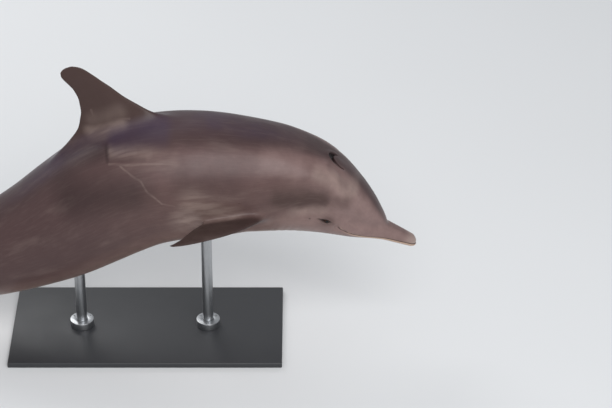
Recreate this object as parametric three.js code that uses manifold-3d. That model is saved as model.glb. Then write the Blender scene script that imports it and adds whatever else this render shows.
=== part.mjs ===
// Bottlenose dolphin, life size: a still model in a swimmer's arched pose, on a display stand.
// Millimetres. +X is forward, +Z is up, and the animal is the same on both sides of Y = 0.
// The origin is the middle of the stand's underside.
//
// The body is a loft along a bent spine. A place along it is its distance "at" from the beak's tip,
// measured down the spine. In each cross-section "up" is the height above the spine.
import * as THREE from "three";
import { LoftGeometry } from "three/addons/geometries/LoftGeometry.js";
import { RoundedBoxGeometry } from "three/addons/geometries/RoundedBoxGeometry.js";
import { mergeVertices } from "three/addons/utils/BufferGeometryUtils.js";
import Module from "manifold-3d";

const BODY_LENGTH = 2500; // tip of the upper jaw to the notch of the flukes
const GAP = 0.3; // between neighbouring pieces

// --- Pose ---------------------------------------------------------------------------------------
const TIP_X = 947; // where the beak's tip is
const TIP_Z = 372;
const SPINE_STEP = 5;
// How steeply the spine rises towards the head, in degrees, at each distance from the beak's tip.
const SPINE_PITCH = [
  [0, -24],
  [360, -23],
  [620, -14],
  [800, -5],
  [930, 7],
  [1050, 22],
  [1170, 33],
  [1290, 34],
  [1430, 29],
  [1650, 22],
  [1900, 13],
  [2150, 5],
  [2350, -2],
  [2500, -6],
];

// --- Jaws: the beak and the lower part of the head, back to the throat ----------------------------
const BEAK_TIP_RADIUS = 20;
const JAWS = {
  top: [
    [0, 17], [26, 22], [62, 26], [118, 32], [165, 36], [225, 48], [270, 68], [310, 95], [350, 128],
    [435, 172], [520, 196], [640, 206], [760, 195],
  ],
  bottom: [
    [0, 16], [26, 20], [62, 23], [118, 28], [165, 35], [225, 48], [310, 66], [435, 104], [520, 134],
    [600, 158], [680, 174], [760, 168],
  ],
  halfWidth: [
    [0, 21], [26, 26], [62, 34], [118, 45], [165, 62], [225, 86], [310, 113], [350, 124], [435, 142],
    [520, 158], [600, 170], [680, 178], [760, 165],
  ],
  fullness: [[0, 2.2], [620, 2.0]],
};
const JAWS_END = 760;

// --- Cranium, trunk and tail stock: the melon rises from the crease behind the beak ---------------
const CREASE_AT = 103;
const STOCK_END = 2490;
const TRUNK = {
  top: [
    [103, 8], [118, 28], [139, 53], [165, 78], [205, 112], [270, 156], [350, 195], [465, 226], [575, 240],
    [720, 239], [925, 229], [1080, 222], [1275, 206], [1470, 183], [1715, 149], [1910, 115], [2110, 80],
    [2305, 45], [2420, 25], [2490, 9],
  ],
  bottom: [
    [103, 0], [165, 12], [270, 12], [310, 0], [350, -14], [410, -30], [465, 2], [520, 62], [575, 112],
    [650, 165], [720, 194], [925, 222], [1080, 229], [1275, 214], [1470, 181], [1715, 142], [1910, 111],
    [2110, 78], [2305, 45], [2420, 25], [2490, 9],
  ],
  halfWidth: [
    [103, 10], [122, 23], [139, 34], [165, 47], [205, 67], [270, 94], [350, 122], [465, 150], [575, 175],
    [720, 201], [925, 219], [1080, 222], [1275, 206], [1470, 172], [1715, 126], [1910, 87], [2110, 52],
    [2305, 34], [2420, 37], [2490, 21],
  ],
  fullness: [
    [103, 2.1], [270, 2.15], [400, 2.35], [560, 2.15], [700, 2.05], [1500, 2.0], [1900, 1.85],
    [2200, 1.65], [2490, 1.8],
  ],
};
const CREASE_BLEND = [[103, 6], [200, 12], [400, 26]]; // how softly the melon meets the jaws
const RING_POINTS = 28;

// --- Dorsal fin: heights above its base line, and how far its two edges lie behind the base's front
const FIN_BASE_AT = 894;
const FIN_BASE_UP = 217;
const FIN_BASE_SLOPE = 7.2; // degrees, down towards the tail
const DORSAL_FIN = [
  // height, leading edge, trailing edge, thickness
  [-100, -60, 384, 36],
  [-70, -70, 364, 46],
  [-40, -66, 339, 50],
  [-18, -56, 322, 50],
  [2, -36, 307, 46],
  [20, 0, 298, 39],
  [50, 45, 289, 30],
  [85, 87, 280, 24],
  [120, 127, 280, 20],
  [165, 168, 291, 16],
  [195, 198, 310, 13],
  [217, 219, 323, 11],
  [236, 239, 321, 8],
  [248, 257, 308, 6],
  [254, 272, 290, 3],
];

// --- Flippers: distances out from the shoulder, and the two edges ahead of the blade's axis --------
const FLIPPER_ROOT = { at: 630, angle: 118, inset: 30 };
const FLIPPER_BACK = 0.5; // the blade's axis runs back, out and up by these shares
const FLIPPER_OUT = 0.86;
const FLIPPER_UP = 0.15;
const FLIPPER_TWIST = 8; // degrees, leading edge raised
const FLIPPER = [
  // distance out, leading edge, trailing edge, thickness
  [-45, 70, -50, 44],
  [0, 75, -60, 42],
  [40, 76, -71, 37],
  [80, 71, -81, 31],
  [130, 60, -88, 25],
  [185, 40, -89, 20],
  [240, 12, -84, 15],
  [285, -16, -79, 12],
  [320, -43, -80, 8],
  [342, -66, -85, 4],
];

// --- Flukes: distances out from the middle, and the two edges as distances from the beak's tip -----
const FLUKES = [
  // distance out, leading edge, trailing edge, thickness
  [0, 2286, 2500, 40],
  [16, 2296, 2514, 38],
  [42, 2322, 2534, 31],
  [80, 2354, 2540, 25],
  [130, 2392, 2538, 19],
  [180, 2430, 2538, 15],
  [230, 2470, 2542, 11],
  [270, 2507, 2550, 8],
  [293, 2534, 2558, 5],
  [302, 2550, 2560, 3],
];

// --- Face -----------------------------------------------------------------------------------------
const EYE = { at: 350, up: 24, radius: 14.5, proud: 3 };
const MOUTH_CORNER_AT = 305;
// The mouth line's height above the spine.
const MOUTH_LINE = [[-20, 0], [0, -1], [60, -3], [120, -6], [190, -11], [240, -9], [285, 1], [305, 9]];
const MOUTH_GAP = 1.2;
const BLOWHOLE = { at: 424, radius: 24, groove: 3, depth: 2 };

// --- Where the animal is parted -------------------------------------------------------------------
const BEAK_TO_HEAD = 118;
const HEAD_TO_NECK = 455;
const NECK_TO_CHEST = 565;
const CHEST_TO_LOIN = 840;
const LOIN_TO_STOCK = 1700;
const STOCK_TO_FLUKES = 2285;
const FIN_CUT_HEIGHT = 19;
const FLIPPER_CUT_OUT = 34;

// --- Stand ----------------------------------------------------------------------------------------
const BASE = { length: 960, width: 480, thickness: 20, corner: 8 };
const ROD = { radius: 19, reach: 470, collarRadius: 42, collarHeight: 26 }; // reach ends inside the body
const ROD_X = [215, -235];

const SKIN_FINISH = { color: 0x6f5c5c, roughness: 0.35, metalness: 0 };
const EYE_FINISH = { color: 0x15100e, roughness: 0.08, metalness: 0 };
const BASE_FINISH = { color: 0x2e3033, roughness: 0.5, metalness: 0 };
const STEEL_FINISH = { color: 0xa9abad, roughness: 0.32, metalness: 1 };

const wasm = await Module();
wasm.setup();

// --- Curves ---------------------------------------------------------------------------------------

// A smooth curve through knots of [place, value] that never overshoots them.
function curve(knots) {
  const slopes = knots.map((knot, i) => {
    if (i === 0 || i === knots.length - 1) return 0;
    const before = rise(knots[i - 1], knot);
    const after = rise(knot, knots[i + 1]);
    return before * after > 0 ? (2 * before * after) / (before + after) : 0;
  });
  const last = knots.length - 1;
  slopes[0] = rise(knots[0], knots[1]);
  slopes[last] = rise(knots[last - 1], knots[last]);
  return (place) => {
    let i = 0;
    while (i < last - 1 && place > knots[i + 1][0]) i += 1;
    const span = knots[i + 1][0] - knots[i][0];
    const t = THREE.MathUtils.clamp((place - knots[i][0]) / span, 0, 1);
    const hold = (1 + 2 * t) * (1 - t) ** 2;
    return (
      hold * knots[i][1] +
      (1 - hold) * knots[i + 1][1] +
      t * (1 - t) ** 2 * span * slopes[i] +
      t * t * (t - 1) * span * slopes[i + 1]
    );
  };
}

function rise(a, b) {
  return (b[1] - a[1]) / (b[0] - a[0]);
}

// --- Spine ----------------------------------------------------------------------------------------

const pitchAt = curve(SPINE_PITCH);
const SPINE = layOutSpine();

// The spine's points, every SPINE_STEP from just ahead of the beak's tip to behind the flukes.
function layOutSpine() {
  const points = [];
  const start = -40;
  for (let at = start, x = TIP_X, z = TIP_Z; at <= BODY_LENGTH + 100; at += SPINE_STEP) {
    const pitch = THREE.MathUtils.degToRad(pitchAt(at));
    if (at === start) {
      x -= start * Math.cos(pitch);
      z -= start * Math.sin(pitch);
    }
    points.push({ at, x, z, pitch });
    x -= SPINE_STEP * Math.cos(pitch);
    z -= SPINE_STEP * Math.sin(pitch);
  }
  return points;
}

// A point given by its distance along the spine, its distance to the left and its height above it.
function place(at, left, up) {
  const exact = (at - SPINE[0].at) / SPINE_STEP;
  const i = THREE.MathUtils.clamp(Math.floor(exact), 0, SPINE.length - 2);
  const t = exact - i;
  const pitch = THREE.MathUtils.lerp(SPINE[i].pitch, SPINE[i + 1].pitch, t);
  return new THREE.Vector3(
    THREE.MathUtils.lerp(SPINE[i].x, SPINE[i + 1].x, t) - up * Math.sin(pitch),
    left,
    THREE.MathUtils.lerp(SPINE[i].z, SPINE[i + 1].z, t) + up * Math.cos(pitch),
  );
}

// --- Cross-sections -------------------------------------------------------------------------------

const jaws = asCurves(JAWS);
const trunk = asCurves(TRUNK);
const blendAt = curve(CREASE_BLEND);

function asCurves(shape) {
  return {
    top: curve(shape.top),
    bottom: curve(shape.bottom),
    halfWidth: curve(shape.halfWidth),
    fullness: curve(shape.fullness),
  };
}

// How far a section's point lies outside one of the body's two shapes: under 0 is inside it.
function outside(shape, at, left, up) {
  const top = shape.top(at);
  const bottom = shape.bottom(at);
  const halfWidth = shape.halfWidth(at);
  const fullness = shape.fullness(at);
  const middle = (top - bottom) / 2;
  const halfHeight = (top + bottom) / 2;
  const across = Math.abs(left / halfWidth) ** fullness;
  const upright = Math.abs((up - middle) / halfHeight) ** fullness;
  return ((across + upright) ** (1 / fullness) - 1) * Math.min(halfWidth, halfHeight);
}

// The same for the whole body, where the two shapes meet in a soft crease.
function outsideBody(at, left, up) {
  const inJaws = at < JAWS_END;
  const inTrunk = at > CREASE_AT;
  const a = inJaws ? outside(jaws, at, left, up) : Infinity;
  const b = inTrunk ? outside(trunk, at, left, up) : Infinity;
  if (!inJaws || !inTrunk) return Math.min(a, b);
  const blend = blendAt(at);
  const near = Math.max(blend - Math.abs(a - b), 0) / blend;
  return Math.min(a, b) - (near * near * blend) / 4;
}

// How much the beak's rounded tip narrows the section.
function tipShare(at) {
  const ahead = Math.max(BEAK_TIP_RADIUS - at, 0) / BEAK_TIP_RADIUS;
  return Math.sqrt(Math.max(1 - ahead * ahead, 0));
}

function sectionMiddle(at) {
  if (at < CREASE_AT) return 0;
  return ((trunk.top(at) - trunk.bottom(at)) / 2) * Math.min((at - CREASE_AT) / 200, 1);
}

// The skin's point at an angle around the spine, in degrees: 0 is the back, 90 the left side.
function skinPoint(at, degrees, clearance = 0) {
  const angle = THREE.MathUtils.degToRad(degrees);
  const middle = sectionMiddle(at);
  let inside = 0;
  let beyond = 400;
  for (let i = 0; i < 26; i += 1) {
    const reach = (inside + beyond) / 2;
    const left = reach * Math.sin(angle);
    const up = middle + reach * Math.cos(angle);
    if (outsideBody(at, left, up) < 0) inside = reach;
    else beyond = reach;
  }
  const reach = inside * tipShare(at) + clearance;
  return place(at, reach * Math.sin(angle), middle + reach * Math.cos(angle));
}

// --- Solids ---------------------------------------------------------------------------------------

function solid(geometry) {
  const bare = new THREE.BufferGeometry();
  bare.setAttribute("position", geometry.getAttribute("position"));
  bare.setIndex(geometry.index);
  const merged = mergeVertices(bare, 1e-4);
  return new wasm.Manifold(
    new wasm.Mesh({
      numProp: 3,
      vertProperties: new Float32Array(merged.attributes.position.array),
      triVerts: new Uint32Array(merged.index.array),
    }),
  );
}

// A closed loft. Its sections are turned, where need be, to run round the way it runs.
function loft(sections) {
  const [first, second] = sections;
  const turning = new THREE.Vector3();
  const onward = new THREE.Vector3();
  first.forEach((point, i) => {
    turning.add(new THREE.Vector3().crossVectors(point, first[(i + 1) % first.length]));
    onward.add(second[i]).sub(point);
  });
  if (turning.dot(onward) < 0) sections.forEach((section) => section.reverse());
  return solid(new LoftGeometry(sections, { capStart: true, capEnd: true }));
}

function mesh(name, made, finish) {
  const flat = made.getMesh();
  const geometry = new THREE.BufferGeometry();
  geometry.setAttribute("position", new THREE.BufferAttribute(flat.vertProperties, 3));
  geometry.setIndex(new THREE.BufferAttribute(flat.triVerts, 1));
  geometry.computeVertexNormals();
  const piece = new THREE.Mesh(geometry, new THREE.MeshStandardMaterial(finish));
  piece.name = name;
  return piece;
}

// Sections crowd where the shape turns fast: at the beak's tip and at the crease.
function bodyStations() {
  const stations = [1.2, 5, 11, 20, 38, 60, 84, 104];
  for (let at = 112; at < 176; at += 9) stations.push(at);
  for (let at = 185; at < 420; at += 24) stations.push(at);
  for (let at = 425; at < 2300; at += 52) stations.push(at);
  stations.push(2310, 2380, 2440, STOCK_END);
  return stations;
}

function makeBody() {
  const sections = bodyStations().map((at) => {
    const ring = [];
    for (let i = 0; i < RING_POINTS; i += 1) ring.push(skinPoint(at, (i * 360) / RING_POINTS));
    return ring;
  });
  return loft(sections);
}

// A blade's section: round at the leading edge, thin at the trailing edge.
function bladeSection(steps, pointAt) {
  const ring = [];
  for (let i = 0; i < steps; i += 1) {
    const turn = (i * 2 * Math.PI) / steps;
    const share = (1 - Math.cos(turn)) / 2; // 0 at the leading edge, 1 at the trailing edge
    ring.push(pointAt(share, Math.sin(turn) * (1.12 - 0.62 * share)));
  }
  return ring;
}

function makeDorsalFin() {
  const base = place(FIN_BASE_AT, 0, FIN_BASE_UP);
  const slope = THREE.MathUtils.degToRad(FIN_BASE_SLOPE);
  const back = new THREE.Vector3(-Math.cos(slope), 0, -Math.sin(slope));
  const up = new THREE.Vector3(-Math.sin(slope), 0, Math.cos(slope));
  const sections = DORSAL_FIN.map(([height, front, rear, thickness]) =>
    bladeSection(16, (share, side) =>
      base
        .clone()
        .addScaledVector(back, front + (rear - front) * share)
        .addScaledVector(up, height)
        .add(new THREE.Vector3(0, (side * thickness) / 2, 0)),
    ),
  );
  return { fin: loft(sections), base, back, up };
}

// side is 1 for the left flipper and -1 for the right one.
function flipperFrame(side) {
  const root = skinPoint(FLIPPER_ROOT.at, FLIPPER_ROOT.angle);
  const middle = place(FLIPPER_ROOT.at, 0, sectionMiddle(FLIPPER_ROOT.at));
  root.lerp(middle, FLIPPER_ROOT.inset / root.distanceTo(middle));
  const out = new THREE.Vector3(-FLIPPER_BACK, FLIPPER_OUT, FLIPPER_UP).normalize();
  const up = new THREE.Vector3(0, 0, 1);
  const ahead = new THREE.Vector3().crossVectors(out, up).normalize();
  const twist = THREE.MathUtils.degToRad(-FLIPPER_TWIST);
  ahead.applyAxisAngle(out, twist);
  const thick = new THREE.Vector3().crossVectors(ahead, out).normalize();
  const mirror = new THREE.Vector3(1, side, 1);
  return {
    root: root.multiply(mirror),
    out: out.multiply(mirror),
    ahead: ahead.multiply(mirror),
    thick: thick.multiply(mirror),
  };
}

function makeFlipper(side) {
  const frame = flipperFrame(side);
  const sections = FLIPPER.map(([reach, lead, trail, thickness]) =>
    bladeSection(16, (share, face) =>
      frame.root
        .clone()
        .addScaledVector(frame.out, reach)
        .addScaledVector(frame.ahead, lead + (trail - lead) * share)
        .addScaledVector(frame.thick, (face * thickness * side) / 2),
    ),
  );
  return loft(sections);
}

function makeFlukes() {
  const rightToLeft = [...FLUKES.slice(1).reverse().map((row) => [-row[0], ...row.slice(1)]), ...FLUKES];
  const sections = rightToLeft.map(([left, front, rear, thickness]) =>
    bladeSection(16, (share, face) =>
      place(front + (rear - front) * share, left, (face * thickness) / 2),
    ),
  );
  return loft(sections);
}

// --- Cutters --------------------------------------------------------------------------------------

// A big block with one face at a point, reaching away from it along a direction.
function block(point, direction, reach = 4000, breadth = 6000) {
  const geometry = new THREE.BoxGeometry(breadth, breadth, reach);
  geometry.translate(0, 0, reach / 2);
  const turn = new THREE.Quaternion().setFromUnitVectors(new THREE.Vector3(0, 0, 1), direction);
  geometry.applyQuaternion(turn);
  geometry.translate(point.x, point.y, point.z);
  return solid(geometry);
}

function forwardAt(at) {
  return place(at - 2, 0, 0).sub(place(at + 2, 0, 0)).normalize();
}

// All that lies ahead of a place along the spine, or behind it, with half the gap.
function ahead(at) {
  return block(place(at + GAP / 2, 0, 0), forwardAt(at));
}

function behind(at) {
  return block(place(at - GAP / 2, 0, 0), forwardAt(at).negate());
}

function between(whole, from, to) {
  return whole.subtract(ahead(from)).subtract(behind(to));
}

// All that lies under the mouth line, as far back as the mouth's corner. A gap over 0 lowers it.
function underMouth(gap) {
  const line = curve(MOUTH_LINE);
  const shape = new THREE.Shape();
  const edge = [];
  for (let at = -20; at < MOUTH_CORNER_AT - 8; at += 13) edge.push(place(at, 0, line(at) - gap));
  edge.push(place(MOUTH_CORNER_AT - gap, 0, line(MOUTH_CORNER_AT) - gap));
  edge.push(place(MOUTH_CORNER_AT - gap, 0, -160));
  edge.push(place(-20, 0, -160));
  edge.forEach((point, i) => (i ? shape.lineTo(point.x, point.z) : shape.moveTo(point.x, point.z)));
  const geometry = new THREE.ExtrudeGeometry(shape, { depth: 500, bevelEnabled: false });
  geometry.rotateX(Math.PI / 2);
  geometry.translate(0, 250, 0);
  return solid(geometry);
}

// --- Eyes and blowhole ------------------------------------------------------------------------------

// The skin's point on one side at a height above the spine.
function sidePoint(at, up, side) {
  let inside = 0;
  let beyond = 300;
  for (let i = 0; i < 26; i += 1) {
    const left = (inside + beyond) / 2;
    if (outsideBody(at, left, up) < 0) inside = left;
    else beyond = left;
  }
  return place(at, inside * side, up);
}

function eyeBall(side, radius) {
  const skin = sidePoint(EYE.at, EYE.up, side);
  const ball = new THREE.SphereGeometry(radius, 14, 10);
  ball.translate(skin.x, skin.y + side * (EYE.proud - EYE.radius), skin.z);
  return solid(ball);
}

// A crescent groove across the top of the head, its horns pointing forward.
function blowholeGroove() {
  const top = trunk.top(BLOWHOLE.at);
  const sections = [];
  for (let turn = -80; turn <= 80; turn += 20) {
    const angle = THREE.MathUtils.degToRad(turn);
    const size = BLOWHOLE.groove * (1.1 - Math.abs(turn) / 110);
    const left = Math.sin(angle) * BLOWHOLE.radius;
    const at = BLOWHOLE.at + (Math.cos(angle) - 1) * BLOWHOLE.radius;
    const drop = (left * left) / 260;
    const ring = [];
    for (let i = 0; i < 8; i += 1) {
      const around = (i * Math.PI) / 4;
      const outward = Math.cos(around) * size;
      ring.push(
        place(
          at + Math.cos(angle) * outward,
          left + Math.sin(angle) * outward,
          top - drop - BLOWHOLE.depth + Math.sin(around) * size * 2,
        ),
      );
    }
    sections.push(ring);
  }
  return loft(sections);
}

// --- Animal -----------------------------------------------------------------------------------------

function addAnimal(group) {
  const dorsal = makeDorsalFin();
  const torso = makeBody().add(dorsal.fin).add(makeFlukes());
  const finCut = (height) => dorsal.base.clone().addScaledVector(dorsal.up, height);
  const finBlock = (height) =>
    block(finCut(height).addScaledVector(dorsal.back, 150), dorsal.up, 500, 560);

  let head = between(torso, BEAK_TO_HEAD, HEAD_TO_NECK);
  const beak = torso.subtract(behind(BEAK_TO_HEAD));
  const lowerJaw = torso.subtract(behind(HEAD_TO_NECK)).intersect(underMouth(MOUTH_GAP));
  const mouth = underMouth(0);
  for (const side of [1, -1]) head = head.subtract(eyeBall(side, EYE.radius + GAP));
  head = head.subtract(blowholeGroove()).subtract(mouth);
  let chest = between(torso, NECK_TO_CHEST, CHEST_TO_LOIN);
  const loin = between(torso, CHEST_TO_LOIN, LOIN_TO_STOCK);
  const neck = between(torso, HEAD_TO_NECK, NECK_TO_CHEST);
  const tail = torso.subtract(ahead(STOCK_TO_FLUKES));

  for (const [name, side] of [["left", 1], ["right", -1]]) {
    const frame = flipperFrame(side);
    const cut = frame.root.clone().addScaledVector(frame.out, FLIPPER_CUT_OUT);
    const flipper = makeFlipper(side);
    const stubEnd = cut.clone().addScaledVector(frame.out, -GAP);
    const stub = flipper.intersect(block(stubEnd, frame.out.clone().negate(), 200, 400));
    chest = chest.add(between(stub, NECK_TO_CHEST, CHEST_TO_LOIN));
    const blade = flipper.intersect(block(cut, frame.out, 600, 500)).subtract(makeBodyGrown());
    group.add(mesh(`flipper_${name}`, blade, SKIN_FINISH));
    group.add(mesh(`eye_${name}`, eyeBall(side, EYE.radius), EYE_FINISH));
    const half = block(new THREE.Vector3(0, (side * GAP) / 2, 0), new THREE.Vector3(0, side, 0));
    group.add(mesh(`fluke_${name}`, tail.intersect(half), SKIN_FINISH));
  }

  group.add(mesh("beak_upper", beak.subtract(mouth), SKIN_FINISH));
  group.add(mesh("jaw_lower", lowerJaw, SKIN_FINISH));
  group.add(mesh("head", head, SKIN_FINISH));
  group.add(mesh("neck", neck, SKIN_FINISH));
  group.add(mesh("trunk_front", chest, SKIN_FINISH));
  group.add(mesh("trunk_rear", loin.subtract(finBlock(FIN_CUT_HEIGHT)), SKIN_FINISH));
  group.add(mesh("dorsal_fin", loin.intersect(finBlock(FIN_CUT_HEIGHT + GAP)), SKIN_FINISH));
  group.add(mesh("tail_stock", between(torso, LOIN_TO_STOCK, STOCK_TO_FLUKES), SKIN_FINISH));
  return torso;
}

// The body a little grown, to clear the flippers' blades of it.
function makeBodyGrown() {
  const sections = bodyStations()
    .filter((at) => at > 380 && at < 1300)
    .map((at) => {
      const ring = [];
      for (let i = 0; i < RING_POINTS; i += 1) {
        ring.push(skinPoint(at, (i * 360) / RING_POINTS, GAP * 2));
      }
      return ring;
    });
  return loft(sections);
}

// --- Stand ------------------------------------------------------------------------------------------

function rodGeometry(x, bottom, top, radius, sides = 24) {
  const geometry = new THREE.CylinderGeometry(radius, radius, top - bottom, sides);
  geometry.rotateX(Math.PI / 2);
  geometry.translate(x, 0, (top + bottom) / 2);
  return geometry;
}

function addStand(group, torso) {
  const plate = new RoundedBoxGeometry(BASE.length, BASE.width, BASE.thickness, 2, BASE.corner);
  plate.translate(0, 0, BASE.thickness / 2);
  group.add(mesh("stand_base", solid(plate), BASE_FINISH));
  const foot = BASE.thickness + GAP;
  ROD_X.forEach((x, i) => {
    const name = ["front", "rear"][i];
    // The rod is cut to the body's underside, then lowered by the gap to clear it.
    const rod = solid(rodGeometry(x, foot + GAP, ROD.reach, ROD.radius)).subtract(torso);
    const rodPiece = mesh(`stand_rod_${name}`, rod, STEEL_FINISH);
    rodPiece.geometry.translate(0, 0, -GAP);
    group.add(rodPiece);
    const collar = solid(rodGeometry(x, foot, foot + ROD.collarHeight, ROD.collarRadius));
    const bore = solid(rodGeometry(x, foot - 5, foot + ROD.collarHeight + 5, ROD.radius + GAP));
    group.add(mesh(`stand_collar_${name}`, collar.subtract(bore), STEEL_FINISH));
  });
}

const dolphin = new THREE.Group();
const torso = addAnimal(dolphin);
addStand(dolphin, torso);

export default dolphin;
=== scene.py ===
import math
from functools import partial

import bmesh
import bpy
import numpy as np
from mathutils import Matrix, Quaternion, Vector


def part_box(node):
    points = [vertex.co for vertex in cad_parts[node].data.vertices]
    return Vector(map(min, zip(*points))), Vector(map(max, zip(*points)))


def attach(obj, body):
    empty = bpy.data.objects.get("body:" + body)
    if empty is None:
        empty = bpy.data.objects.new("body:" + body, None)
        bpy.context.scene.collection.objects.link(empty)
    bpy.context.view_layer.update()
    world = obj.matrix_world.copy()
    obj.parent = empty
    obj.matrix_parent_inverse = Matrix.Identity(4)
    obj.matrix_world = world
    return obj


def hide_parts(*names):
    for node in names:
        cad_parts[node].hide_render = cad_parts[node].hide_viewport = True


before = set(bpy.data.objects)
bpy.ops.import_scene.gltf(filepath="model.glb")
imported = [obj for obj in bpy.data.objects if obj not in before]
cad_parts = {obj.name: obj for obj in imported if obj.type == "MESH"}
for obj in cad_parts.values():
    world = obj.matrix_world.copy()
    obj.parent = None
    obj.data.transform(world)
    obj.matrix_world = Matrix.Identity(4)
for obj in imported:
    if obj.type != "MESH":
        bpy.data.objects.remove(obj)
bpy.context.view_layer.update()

# Bottlenose dolphin, life size, on a display stand. +X is forward, +Z is up, metres in Blender.
# The body's tables are in millimetres. "at" is a distance from the beak's tip along the bent spine,
# "left" a distance to the animal's left and "up" a height above the spine.

bl_info = {
    "name": "Bottlenose Dolphin Model",
    "version": (1, 0, 0),
    "blender": (4, 5, 0),
    "location": "3D Viewport > Sidebar > Dolphin",
    "description": "Builds a life-size bottlenose dolphin with its skin, eyes and display stand",
    "category": "Object",
}

MM = 0.001

# --- The animal's sizes, in millimetres -------------------------------------------------------------

BODY_LENGTH = 2500
TIP_X = 947
TIP_Z = 372
SPINE_STEP = 5
SPINE_START = -40
PAST_NOTCH = 101  # how far the spine's line goes on behind the body, for the flukes' tips
SPINE_PITCH = [
    [0, -24], [360, -23], [620, -14], [800, -5], [930, 7], [1050, 22], [1170, 33], [1290, 34],
    [1430, 29], [1650, 22], [1900, 13], [2150, 5], [2350, -2], [2500, -6],
]

BEAK_TIP_RADIUS = 20
JAWS = {
    "top": [
        [0, 17], [26, 22], [62, 26], [118, 32], [165, 36], [225, 48], [270, 68], [310, 95],
        [350, 128], [435, 172], [520, 196], [640, 206], [760, 195],
    ],
    "bottom": [
        [0, 16], [26, 20], [62, 23], [118, 28], [165, 35], [225, 48], [310, 66], [435, 104],
        [520, 134], [600, 158], [680, 174], [760, 168],
    ],
    "half_width": [
        [0, 21], [26, 26], [62, 34], [118, 45], [165, 62], [225, 86], [310, 113], [350, 124],
        [435, 142], [520, 158], [600, 170], [680, 178], [760, 165],
    ],
    "fullness": [[0, 2.2], [620, 2.0]],
}
JAWS_END = 760
CREASE_AT = 103
STOCK_END = 2490
SKIN_END = 2478  # the skin of the tail stock ends here, inside the flukes
TRUNK = {
    "top": [
        [103, 8], [118, 28], [139, 53], [165, 78], [205, 112], [270, 156], [350, 195], [465, 226],
        [575, 240], [720, 239], [925, 229], [1080, 222], [1275, 206], [1470, 183], [1715, 149],
        [1910, 115], [2110, 80], [2305, 45], [2400, 26], [2450, 12], [2490, 2],
    ],
    "bottom": [
        [103, 0], [165, 12], [270, 12], [310, 0], [350, -14], [410, -30], [465, 2], [520, 62],
        [575, 112], [650, 165], [720, 194], [925, 222], [1080, 229], [1275, 214], [1470, 181],
        [1715, 142], [1910, 111], [2110, 78], [2305, 45], [2400, 26], [2450, 12], [2490, 2],
    ],
    "half_width": [
        [103, 10], [122, 23], [139, 34], [165, 47], [205, 67], [270, 94], [350, 122], [465, 150],
        [575, 175], [720, 201], [925, 219], [1080, 222], [1275, 206], [1470, 172], [1715, 126],
        [1910, 87], [2110, 52], [2305, 34], [2400, 33], [2450, 22], [2490, 5],
    ],
    "fullness": [
        [103, 2.1], [270, 2.15], [400, 2.35], [560, 2.15], [700, 2.05], [1500, 2.0], [1900, 1.85],
        [2200, 1.65], [2490, 1.8],
    ],
}
CREASE_BLEND = [[103, 6], [200, 12], [400, 26]]
MIDDLE_RISE = 200  # over this distance the sections' middle moves from the jaws' to the trunk's

# Fins: rows of distance out from the root, leading edge, trailing edge and thickness. Angles are
# in degrees.
FIN_BASE_AT = 894
FIN_BASE_UP = 217
FIN_BASE_SLOPE = 7.2
DORSAL_FIN = [
    [-170, -30, 404, 30], [-100, -60, 391, 38], [-70, -70, 372, 46], [-40, -66, 347, 50],
    [-18, -56, 329, 50], [2, -36, 312, 46], [20, 0, 300, 39], [50, 45, 289, 30],
    [85, 87, 280, 24], [120, 127, 280, 20], [165, 168, 291, 16], [190, 193, 306, 13.5],
    [208, 210, 318, 12], [222, 224, 324, 10], [233, 235, 324, 8.5], [242, 246, 319, 7],
    [249, 258, 310, 5.5], [253, 269, 300, 4], [254.5, 277, 291, 3],
]
FLIPPER_ROOT = {"at": 630, "turn": 118, "inset": 30}
FLIPPER_OUT = Vector((-0.5, 0.86, 0.15)).normalized()
FLIPPER_TWIST = 8
FLIPPER = [
    [-45, 70, -50, 44], [0, 75, -60, 42], [40, 76, -71, 37], [80, 71, -81, 31], [130, 60, -88, 25],
    [185, 40, -89, 20], [240, 12, -84, 15], [285, -16, -79, 12], [320, -43, -80, 8],
    [342, -66, -85, 4],
]
FLUKES = [
    [0, 2286, 2500, 40], [16, 2296, 2514, 38], [42, 2322, 2534, 31], [80, 2354, 2540, 25],
    [130, 2392, 2538, 19], [180, 2430, 2538, 15], [230, 2470, 2542, 11], [270, 2507, 2550, 8],
    [293, 2534, 2558, 5], [302, 2550, 2560, 3],
]

EYE = {"at": 350, "up": 24, "radius": 14.5, "proud": 3}
EYE_OPENING = {"half_length": 12.5, "half_height": 6.2}
LIDS_REACH = 45  # from the eyeball's middle
MOUTH_CORNER_AT = 305
MOUTH_LINE = [[-20, 0], [0, -1], [60, -3], [120, -6], [190, -11], [240, -9], [285, 1], [305, 9]]
BLOWHOLE = {"at": 412, "left": -20, "turned": 22, "radius": 29, "length": 1.25, "groove": 7.0, "horns": 92}
EAR = {"at": 412, "up": 18}
MELON_CREASE = [[250, 36], [300, 68], [347, 82], [409, 70]]
BEAK_CREASE_AT = 110
THROAT_CREASES = [[438, 0.7], [466, 0.9], [492, 0.7], [524, 0.5]]  # places and depths
NAVEL_AT = 1190
SLIT_FROM = 1600
SLIT_TO = 1730

# --- How closely the skin is divided ----------------------------------------------------------------

SKIN_HALVINGS = 24  # steps by which a distance to the surface is found
SPOT_HALVINGS = 26  # the same, for the eyes and the rods' tops
HALF_ROWS = 80  # rows of faces between the back and the belly, on each side
MOUTH_ROW = 42  # the row that follows the mouth line and passes the eye
# The mouth row's height over the spine: along the mouth line, then past the eye to the flank.
ROW_PATH = [
    [0, -1], [60, -3], [120, -6], [190, -11], [240, -9], [285, 1], [305, 9], [350, 24], [400, 20],
    [470, 4], [600, -14], [2490, 0],
]
ROW_CROWDING = [[0, 0.85], [120, 0.7], [200, 0.45], [400, 0.45], [560, 1.0]]
RING_SPACING = [
    [20, 2.3], [300, 2.7], [380, 2.8], [440, 3.6], [520, 6.5], [640, 7.5], [760, 9.5], [860, 9],
    [1320, 9], [1450, 13], [2180, 13], [2290, 6.5], [2490, 5.5],
]
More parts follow.
